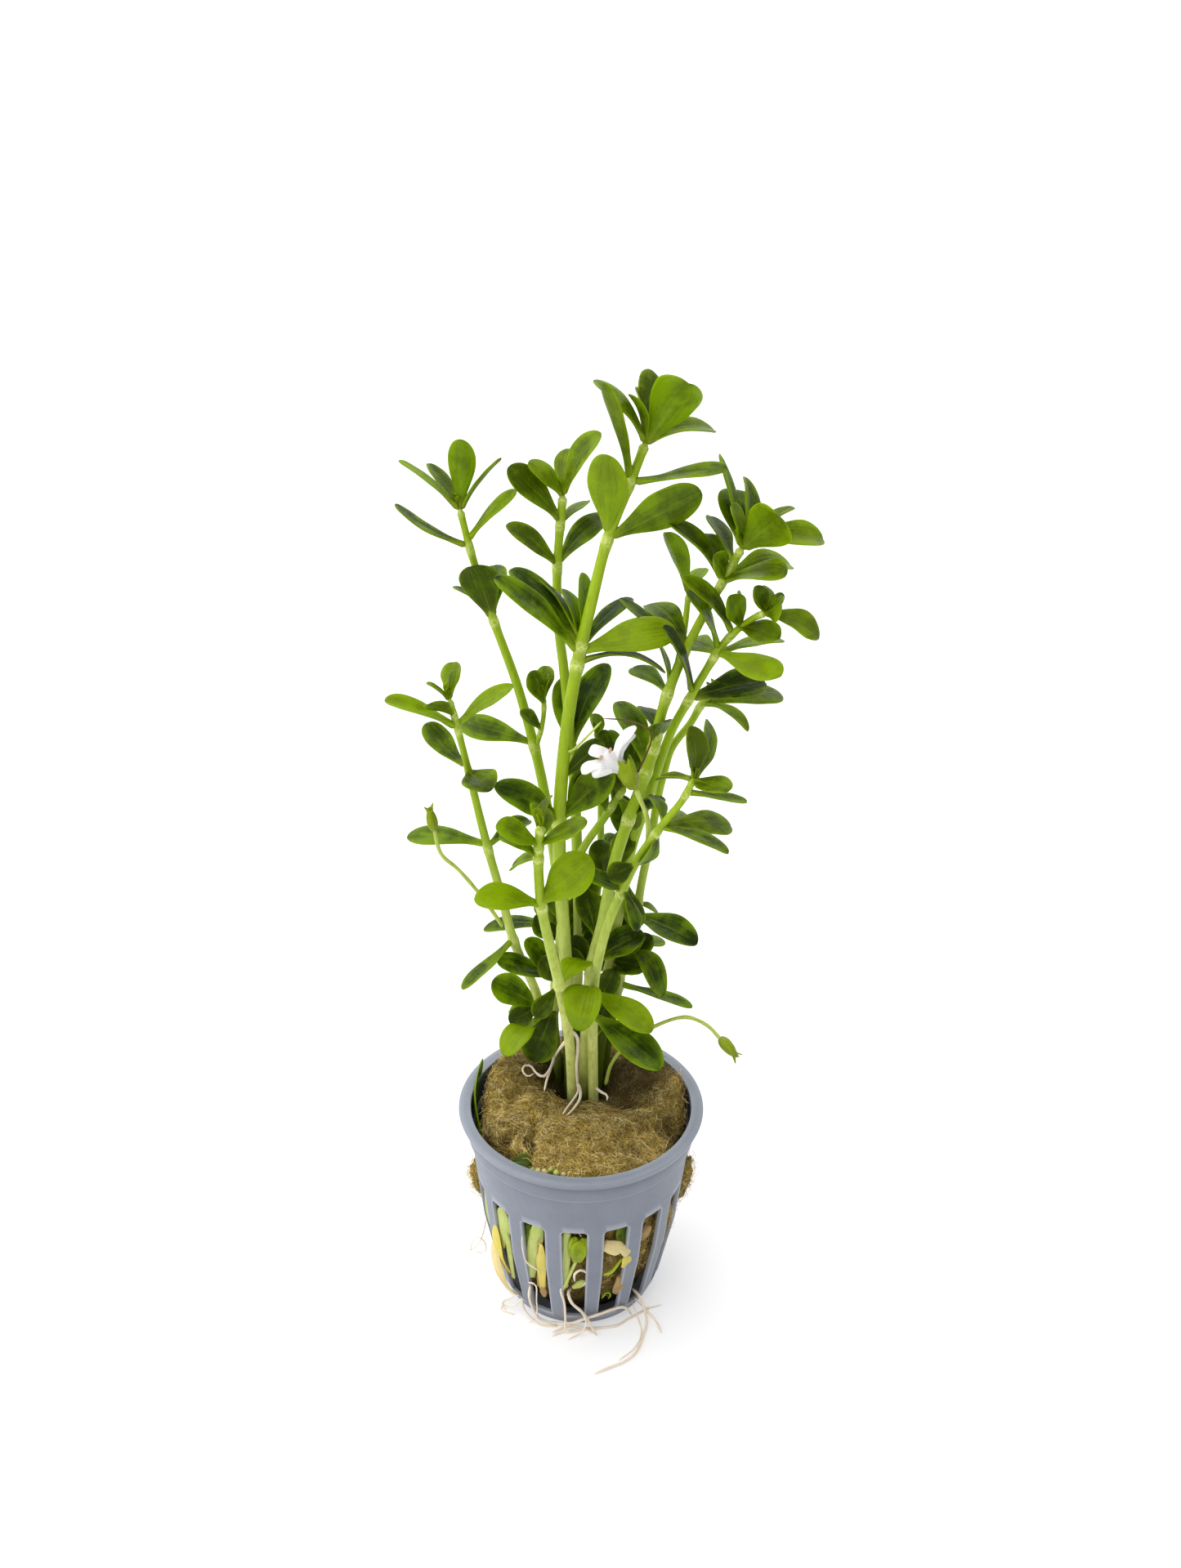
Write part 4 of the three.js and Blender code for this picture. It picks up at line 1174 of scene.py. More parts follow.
@dataclass
class RockWool:
    """The plug of rock wool, its two tufts and the strands that stand off it.

    A swell, or a patch that is moist and painted shaded, is x, y, reach and strength. A crease runs from
    one point of the upper face to another: x, y, x, y, reach and depth. A pinch pulls the edge off the rim:
    x, y, reach and how far.
    """

    steps: int = 168
    top: float = 46.2
    crown_radius: float = 22.8
    crown_rows: int = 32
    well_centre: Pair = (-0.4, 8.6)
    well_reach: Pair = (6.6, 5.2)
    well_depth: float = 7.0
    swells: Sequence[Row] = (
        (-16.5, 12, 9, 3.4), (15, 13, 8, 4.2), (0, 20, 9, 2.6), (-4, -11, 9, 1.6), (17, -13, 7, -2.2),
        (-17.5, -9.5, 3.6, 1.2), (22.4, 5, 3.6, 2.6), (-20, 6, 4, 1.2), (11, 3.5, 4.5, -1.8),
        (20.5, -5, 3.2, -3.4), (-13.5, -15.5, 3.6, 1.0), (6, -8, 5, 0.8), (-8, -1, 4, 0.9),
        (16, -1, 3.4, 0.9),
    )
    creases: Sequence[Row] = (
        (-10.0, -7, -10.6, -18, 1.2, 1.9), (-14.6, -11, -16.6, -15, 1.1, 1.7), (5, 3, 19, -2.5, 1.8, 1.2),
        (-16, 3, -9, 7, 2.0, 1.0), (3, -16, 15, -14, 1.4, 0.9), (-6, -9, 2, -12, 1.1, 0.6),
        (8, -12, 14, -7, 1.2, 0.7),
    )
    pinches: Sequence[Row] = ((-24, -2, 12, 1.5), (21, -10, 5, 1.4), (-15, -18, 5, 1.8))
    bulges: Sequence[Row] = (
        (-114.9, 18, 0.6), (-92.4, 18, 0.8), (-69.9, 20, 1.6), (-47.4, 22, 1.9), (-24.9, 22, 3.3),
        (-159.9, 22, 1.5), (110.1, 20, 1.4), (65.1, 22, 2.0), (20.1, 18, 1.6), (155.1, 20, 1.0),
    )
    damp: Sequence[Row] = (
        (-0.4, 8, 8, 1.0), (-12, 12, 7, 0.7), (13, 8, 7, 1.0), (17, 14, 6, 0.8), (21, -5, 3.6, 0.9),
        (0, 20, 10, 0.7), (-20.5, -12, 4, 0.8), (-10.5, -14, 1.3, 0.8), (-15.6, -13, 1.2, 0.7),
        (8, -1, 6, 0.3),
    )
    sides: Sequence[Pair] = (
        (0, 1.9), (9, 1.9), (14.6, 2.0), (15.4, 5), (16.4, 9), (17.4, 13), (18.2, 17), (18.8, 20), (19.4, 24),
        (19.9, 28), (20.5, 32), (21.6, 34.5), (22.2, 37), (22.6, 39.5), (22.9, 42),
    )
    tufts: Sequence[Row] = ((4, 25.0, 27.2, 7.4), (-4, 25.1, 25.0, 5.8))
    tuft_half_width: float = 1.7
    tuft_half_depth: float = 3.2
    tuft_slope: float = 0.16
    tuft_cover: float = 0.4
    side_cover: float = 0.34

    def outline(self) -> list[Pair]:
        """Half section of the plain plug: its sides, a rounded shoulder and its crown.

        Returns:
            Radius and height of its points in millimetres, from the middle of its foot to its top.
        """
        turns = [radians(18 * k) for k in range(5)]
        shoulder = [(self.crown_radius + 0.2 * cos(a) - 0.8 * (1 - cos(a)),
                     self.top - 2.2 + 2.6 * sin(a)) for a in turns]
        crown = [(21.6 * (1 - k / self.crown_rows), self.top + 0.5 * min(1.0, 2 * (1 - k / self.crown_rows)))
                 for k in range(self.crown_rows + 1)]
        return list(self.sides) + shoulder + crown

    def dampness(self, point: Vector) -> float:
        """How moist the wool is, with painted shade in its patches and low in the pot.

        Args:
            point: A point of the plug, in millimetres.

        Returns:
            Its share of moisture and painted shade, from 0 to 1.
        """
        if point.z < 36:
            # Low in the pot the wool is painted dark, as shade.
            low = 1 - smoothstep(5.0, 11.0, point.z)
            return max(low, 0.4 * noise.noise(point * 0.22) - 0.05)
        darkened = sum(share * bell(hypot(point.x - x, point.y - y), reach)
                  for x, y, reach, share in self.damp)
        return max(0.0, min(1.0, darkened + 0.3 * noise.noise(point * 0.3)))

    def cover(self, point: Vector) -> float:
        """How thick the strands lie.

        Args:
            point: A point of the plug, in millimetres.

        Returns:
            The share of their full number, from 0 to 1.
        """
        if point.z > 41:
            return 1.0
        return self.side_cover * smoothstep(2.2, 4.0, point.z)

    def crown_lift(self, x: float, y: float) -> float:
        """How far the upper face stands over its plain height.

        Args:
            x: The place to the right of the axis, in millimetres.
            y: The place behind it.

        Returns:
            The height in millimetres, below 0 in the well.
        """
        lift = sum(height * bell(hypot(x - cx, y - cy), reach) for cx, cy, reach, height in self.swells)
        for ax, ay, bx, by, reach, depth in self.creases:
            a, b, here = Vector((ax, ay)), Vector((bx, by)), Vector((x, y))
            share = min(1.0, max(0.0, (here - a).dot(b - a) / (b - a).length_squared))
            lift -= depth * bell((here - a.lerp(b, share)).length, reach)
        wx = (x - self.well_centre[0]) / self.well_reach[0]
        wy = (y - self.well_centre[1]) / self.well_reach[1]
        return lift - self.well_depth * exp(-((wx * wx + wy * wy) ** 1.5))

    def shape(self, point: Vector) -> Vector:
        """Moves a point of the plain spun plug to where the matted wool is.

        Args:
            point: A point of the plug, in millimetres.

        Returns:
            The moved point.
        """
        x, y, z = point
        reach = hypot(x, y)
        if z > 42.5:
            z += self.crown_lift(x, y) * smoothstep(42.5, 45.5, z)
        if point.z > 36 and reach > 8.6:
            pull = sum(push * bell(hypot(x - cx, y - cy), radius)
                       for cx, cy, radius, push in self.pinches)
            x -= pull * x / reach
            y -= pull * y / reach
        if point.z < 36 and reach > 12:
            push = self._bulge(degrees(atan2(y, x)), z)
            x += push * x / reach
            y += push * y / reach
        rough = noise.fractal(Vector((x, y, z)) * 0.34, 1.0, 2.1, 3)
        lumps = noise.noise(Vector((x, y, z)) * 0.15 + Vector((7, 3, 1)))
        outward = Vector((x, y, 0)).normalized() if point.z < 45 and reach > 1 else Vector((0, 0, 1))
        return Vector((x, y, z)) + outward * (0.34 * rough + 0.9 * lumps)

    def _bulge(self, azimuth: float, height: float) -> float:
        """How far the wool pushes into the slots.

        Args:
            azimuth: The place on its side, in degrees.
            height: Its height in millimetres.

        Returns:
            The push outwards in millimetres.
        """
        push = 0.0
        for middle, level, depth in self.bulges:
            turn = (azimuth - middle + 180) % 360 - 180
            push += depth * bell(turn, 4.8) * bell(height - level, 11.0)
        return push

    def build(self, wardrobe: Wardrobe) -> None:
        """Makes the plug with its tufts, then the strands.

        Args:
            wardrobe: The finishes.
        """
        bm = bmesh.new()
        damp_shade_layer = bm.verts.layers.float.new("damp")
        cover_layer = bm.verts.layers.float.new("cover")
        spin_profile(bm, self.outline(), self.steps)
        for vert in bm.verts:
            vert[cover_layer] = self.cover(vert.co / MM)
            vert.co = self.shape(vert.co / MM) * MM
        for tuft in self.tufts:
            self._add_tuft(bm, cover_layer, *tuft)
        for vert in bm.verts:
            vert[damp_shade_layer] = self.dampness(vert.co / MM)
        bmesh.ops.recalc_face_normals(bm, faces=bm.faces[:])
        piece = place_piece("wool_plug", bm, [wardrobe.wool])
        register(piece, ["rock_wool"])
        for name, finish, scatter in (
                ("pale", wardrobe.fibre_pale, StrandScatter(density=1.3, dry=0.8, tilt=0.5, seed=3)),
                ("golden", wardrobe.fibre_golden, StrandScatter(density=2.1, dry=0.9, tilt=0.3, seed=5)),
                ("brown", wardrobe.fibre_brown, StrandScatter(density=1.6, dry=0.0, tilt=0.24, seed=8))):
            register(scatter.lay(f"wool_strands_{name}", piece, finish))

    def _add_tuft(self, bm: BMesh, cover_layer: object, slot: float, reach: float,
                  middle: float, half: float) -> None:
        """Adds one ragged tuft that pushes out through a side slot.

        Args:
            bm: The plug's mesh.
            cover_layer: Where the cover of strands is marked.
            slot: The slot's number, counted from the front one.
            reach: How far the tuft reaches from the axis.
            middle: The height of its middle.
            half: Half its height.
        """
        made = bmesh.ops.create_icosphere(bm, subdivisions=5, radius=1)
        turn = Matrix.Rotation(radians(FIRST_SLOT + 360 * slot / SLOTS), 3, "Z")
        for vert in made["verts"]:
            x, y, z = vert.co
            local = Vector((x * self.tuft_half_depth, y * self.tuft_half_width, z * half))
            ragged = noise.fractal(local * 0.45 + Vector((slot, 0, 0)), 1.0, 2.0, 4)
            local *= 1 + 0.16 * ragged
            local.x += reach - self.tuft_half_depth + self.tuft_slope * local.z
            vert.co = (turn @ local + Vector((0, 0, middle))) * MM
            vert[cover_layer] = self.tuft_cover


@dataclass
class StrandScatter:
    """Loose curled strands scattered over a surface by geometry nodes, and made real.

    density is in strands to the square millimetre, the field after it is how much fewer they are where the
    wool is moist and painted shaded, and tilt is how far they stand up, in radians.
    """

    density: float
    dry: float
    tilt: float
    seed: int
    lengths: Sequence[float] = (2.2, 3.0, 4.2)
    radius: float = 0.042
    steps: int = 4

    def template(self, number: int, length: float, finish: Material) -> Object:
        """One curled strand.

        Args:
            number: Which of the templates it is.
            length: Its length in millimetres.
            finish: Its material.

        Returns:
            The strand, about the origin, with its lift along +Z.
        """
        rng = random.Random(self.seed * 10 + number)
        bend, curl, lift = rng.uniform(-1.2, 1.2), rng.uniform(-0.9, 0.9), rng.uniform(0.1, 0.45)
        route = []
        for k in range(self.steps + 1):
            s = k / self.steps - 0.5
            sway = bend * (1 - 4 * s * s) + 0.6 * curl * sin(7 * s)
            route.append((length * s, sway, lift * (0.3 - 2.0 * s * s) + 0.14 * sin(9 * s)))
        spine = Spine(route)
        shaper = Modeller()
        shaper.tube([Station(*spine.at(spine.length * k / self.steps), self.radius)
                     for k in range(self.steps + 1)], 3)
        return shaper.piece(f"strand_{self.seed}_{number}", [finish])

    def _spread(self, nodes: Tree, surface: Socket, template: Object, number: int,
                share: int) -> Socket:
        """Adds the nodes that scatter one template.

        Args:
            nodes: The scatter's tree.
            surface: The socket of what the strands lie on.
            template: One strand.
            number: Which of the templates it is.
            share: How many templates there are.

        Returns:
            The socket of the strands.
        """
        damp, cover = (
            nodes.node("GeometryNodeInputNamedAttribute", {"Name": name}, data_type="FLOAT").outputs[0]
            for name in ("damp", "cover"))
        dry = nodes.less(1.0, nodes.times(damp, self.dry), clamp=True)
        amount = nodes.times(nodes.times(dry, cover), self.density / MM**2 / share)
        spread = nodes.node("GeometryNodeDistributePointsOnFaces",
                            {"Mesh": surface, "Density": amount, "Seed": self.seed * 7 + number})
        least, most = (-self.tilt, -self.tilt, 0.0), (self.tilt, self.tilt, 2 * pi)
        spin = nodes.node("FunctionNodeRandomValue", {0: least, 1: most, "Seed": number},
                          data_type="FLOAT_VECTOR")
        turned = nodes.node("FunctionNodeRotateRotation",
                            {"Rotation": spread.outputs["Rotation"], "Rotate By": spin.outputs[0]},
                            rotation_space="LOCAL")
        size = nodes.node("FunctionNodeRandomValue", {2: 0.6, 3: 1.3, "Seed": number + 5}, data_type="FLOAT")
        shape = nodes.node("GeometryNodeObjectInfo", {"Object": template}, transform_space="ORIGINAL")
        placed = nodes.node("GeometryNodeInstanceOnPoints",
                            {"Points": spread.outputs["Points"], "Instance": shape.outputs["Geometry"],
                             "Rotation": turned.outputs[0], "Scale": size.outputs[1]})
        return nodes.node("GeometryNodeRealizeInstances", {0: placed.outputs[0]}).outputs[0]

    def lay(self, name: str, surface: Object, finish: Material) -> Object:
        """Scatters the strands.

        Args:
            name: The new piece's name.
            surface: What they lie on.
            finish: Their material.

        Returns:
            One joined mesh of all strands.
        """
        templates = [self.template(i, length, finish) for i, length in enumerate(self.lengths)]
        tree = bpy.data.node_groups.new(name + "_scatter", "GeometryNodeTree")
        tree.interface.new_socket(name="Geometry", in_out="INPUT", socket_type="NodeSocketGeometry")
        tree.interface.new_socket(name="Geometry", in_out="OUTPUT", socket_type="NodeSocketGeometry")
        nodes = Tree(tree)
        enter, leave = tree.nodes.new("NodeGroupInput"), tree.nodes.new("NodeGroupOutput")
        joined = nodes.node("GeometryNodeJoinGeometry")
        for i, template in enumerate(templates):
            strands = self._spread(nodes, enter.outputs[0], template, i, len(templates))
            tree.links.new(strands, joined.inputs[0])
        tree.links.new(joined.outputs[0], leave.inputs[0])
        carrier = link_object(name, surface.data.copy())
        carrier.modifiers.new("strands", "NODES").node_group = tree
        made = bpy.data.meshes.new_from_object(carrier.evaluated_get(bpy.context.evaluated_depsgraph_get()))
        carrier.modifiers.clear()
        carrier.data = made
        made.name = name
        for template in templates:
            bpy.data.objects.remove(template)
        return carrier


@dataclass
class Shoot:
    """A stem with its leaves.

    A leaf row is height, azimuth, rise, turn, length, width and arch. inner holds small leaves deep in the
    bunch, painted dark as shade: foot, tip and width. lit and shaded name the leaves, by their place in the
    list, that are painted much brighter as lit or darker as shaded than the rest. Below shade the stem is
    painted darker, as the bunch's shade. bent gives the nod and the curl of the leaves at a height.
    """

    name: str
    thick: Pair
    route: Sequence[Point]
    leaves: Sequence[Row]
    side: Optional["Shoot"] = None
    roots: Sequence[Sequence[Point]] = ()
    inner: Sequence[tuple[Point, Point, float]] = ()
    lit: Sequence[int] = ()
    shaded: Sequence[int] = ()
    shade: float = 0.0
    bent: dict[float, Pair] = field(default_factory=dict)
    own_leaf_area: float = 90.0
    # The inner leaves' tone, painted shade deep in the bunch.
    inner_tone: float = 0.15
    joint_swelling: float = 0.26
    stem_step: float = 1.25
    stem_sides: int = 14
    pale_below: float = 60.0
    green_above: float = 120.0

    def joints(self) -> list[float]:
        """Heights of the stem's joints, where its leaves grow in pairs.

        Returns:
            The heights in millimetres, from the lowest up.
        """
        found: list[float] = []
        for height in sorted(row[0] for row in self.leaves):
            if not found or height - found[-1] > 2.5:
                found.append(height)
        return found

    def grow(self, shaper: Modeller, own: list[tuple[Row, Vector, Vector, float, float]]) -> None:
        """Adds the stem and its small leaves to a mesh, and lists its large leaves.

        Args:
            shaper: The mesh of the stem.
            own: Takes the row, foot, way of the stem, tone and youth of each leaf that is its own piece.
        """
        spine = Spine(self.route)
        joints = [spine.distance_at_height(height) for height in self.joints()]
        self._grow_stem(shaper, spine, joints)
        rng = random.Random(self.name)
        for place, row in enumerate(self.leaves):
            distance = min(spine.distance_at_height(row[0]), spine.length - 0.6 * MM)
            foot, up = spine.at(distance)
            tone, youth = self.leaf_tone(place, row, rng)
            if row[4] * row[5] >= self.own_leaf_area:
                own.append((row, foot, up, tone, youth))
            else:
                shaper.blade(foot, up, self.leaf_form(row), tone, youth, 1, rng.uniform(0, 40))
        for foot, tip, width in self.inner:
            shaper.blade_to(foot, tip, Vector((0, -1, 0.5)), width, 1, self.inner_tone, rng.uniform(0, 40),
                            cup=0.1, fold=0.2)
        self._grow_tip(shaper, spine, rng)

    def leaf_tone(self, place: int, row: Row, rng: random.Random) -> Pair:
        """How light a leaf is, painted bright if lit and dark if shaded, and how young.

        Args:
            place: Its place in the list.
            row: Its row.
            rng: The shoot's own run of chance.

        Returns:
            Tone and youth, from 0 to 1.
        """
        tone = rng.uniform(0.2, 0.85)
        youth = 0.4 * smoothstep(30.0, 0.0, self.route[-1][2] - row[0]) * rng.uniform(0.2, 1.0)
        # Lit leaves are painted bright and young as light on them, shaded ones painted dark as shade.
        if place in self.lit:
            return 0.95, max(youth, 0.6)
        if place in self.shaded:
            return 0.0, 0.0
        return tone, youth

    def leaf_form(self, row: Row) -> BladeForm:
        """The form of a leaf, with its own small differences.

        Args:
            row: Its row.

        Returns:
            The form.
        """
        rng = random.Random(str(row))
        length, width = row[4], row[5]
        form = BladeForm(*row[1:], widest=rng.uniform(0.62, 0.72), stalk=rng.uniform(0.18, 0.26),
                         thickness=0.5 + 0.025 * length, cup=rng.uniform(-0.05, 0.2),
                         fold=rng.uniform(0.0, 0.3), wave=0.07 * width, twist=rng.uniform(-16, 16),
                         bow=rng.uniform(-0.03, 0.03), nod=rng.uniform(-0.12, 0.06))
        form.nod, form.curl = self.bent.get(row[0], (form.nod, form.curl))
        return form

    def _grow_stem(self, shaper: Modeller, spine: Spine, joints: Sequence[float]) -> None:
        """Adds the stem, swollen at its joints and round at its tip.

        Args:
            shaper: The mesh of the stem.
            spine: Its middle line.
            joints: How far along it the joints are, in metres.
        """
        count = max(8, round(spine.length / (self.stem_step * MM)))
        stations = []
        for k in range(count + 1):
            distance = spine.length * k / count
            point, tangent = spine.at(distance)
            share = k / count
            near = min((abs(distance - joint + 0.5 * MM) / MM for joint in joints), default=99.0)
            swell = 1 + self.joint_swelling * bell(near, 1.3)
            end = sqrt(max(0.02, 1 - max(0.0, 1 - (spine.length - distance) / (1.2 * MM)) ** 2))
            radius = (self.thick[1] + (self.thick[0] - self.thick[1]) * (1 - share**2.5)) * swell * end
            height = point.z / MM
            growth = smoothstep(self.pale_below, self.green_above, height)
            # The share of lit colour: below shade the stem is painted with shade.
            light = smoothstep(self.shade - 12, self.shade + 4, height) if self.shade else 1.0
            stations.append(Station(point, tangent, radius, (light, growth, bell(near, 0.8))))
        shaper.tube(stations, self.stem_sides, 0)

    def _grow_tip(self, shaper: Modeller, spine: Spine, rng: random.Random) -> None:
        """Adds the cluster of unopened leaves at the stem's tip.

        Args:
            shaper: The mesh of the stem.
            spine: Its middle line.
            rng: The shoot's own run of chance.
        """
        foot, up = spine.at(spine.length - 0.5 * MM)
        start = rng.uniform(0, 180)
        for k in range(4):
            length = 3.6 - 0.5 * k
            form = BladeForm(start + 90 * k, 66 + 5 * k, 0, length, 0.5 * length, 0.12, cup=0.5, wave=0.0,
                             thickness=0.5)
            shaper.blade(foot, up, form, 0.6, 0.8, 1, k, fine=False)

    def build(self, wardrobe: Wardrobe) -> None:
        """Makes the shoot's pieces: its stem with the small leaves, and its large leaves.

        Args:
            wardrobe: The finishes.
        """
        shaper = Modeller()
        own: list[tuple[Row, Vector, Vector, float, float]] = []
        self.grow(shaper, own)
        if self.side:
            self.side.grow(shaper, own)
        for root in self.roots:
            add_root(shaper, root, 0.4, 0.2, 2)
        stem = shaper.piece(f"{self.name}_shoot", [wardrobe.stem, wardrobe.leaf, wardrobe.root])
        register(stem, [f"{self.name}_stem"])
        for i, (row, foot, up, tone, youth) in enumerate(own, 1):
            leaf_shaper = Modeller()
            leaf_shaper.blade(foot, up, self.leaf_form(row), tone, youth, 0, row[0])
            leaf = leaf_shaper.piece(f"{self.name}_blade_{i}", [wardrobe.leaf])
            register(leaf, [f"{self.name}_leaf_{i}"])


def add_root(shaper: Modeller, route: Sequence[Point], thick: float, thin: float, finish: int = 0) -> None:
    """Adds one thin root or stalk.

    Args:
        shaper: The mesh it joins.
        route: Its points in millimetres.
        thick: Radius at its foot.
        thin: Radius at its tip.
        finish: Its material slot.
    """
    spine = Spine(route)
    count = max(6, round(spine.length / (0.9 * MM)))
    stations = []
    for k in range(count + 1):
        point, tangent = spine.at(spine.length * k / count)
        wobble = 1 + 0.18 * noise.noise(point * 420)
        end = 0.45 if k in (0, count) else 1.0
        radius = (thick + (thin - thick) * k / count) * wobble * end
        # Roots and stalks take the full share of light, with no painted shade.
        stations.append(Station(point, tangent, radius, (1.0, 0.5, 0.0)))
    shaper.tube(stations, 8, finish)


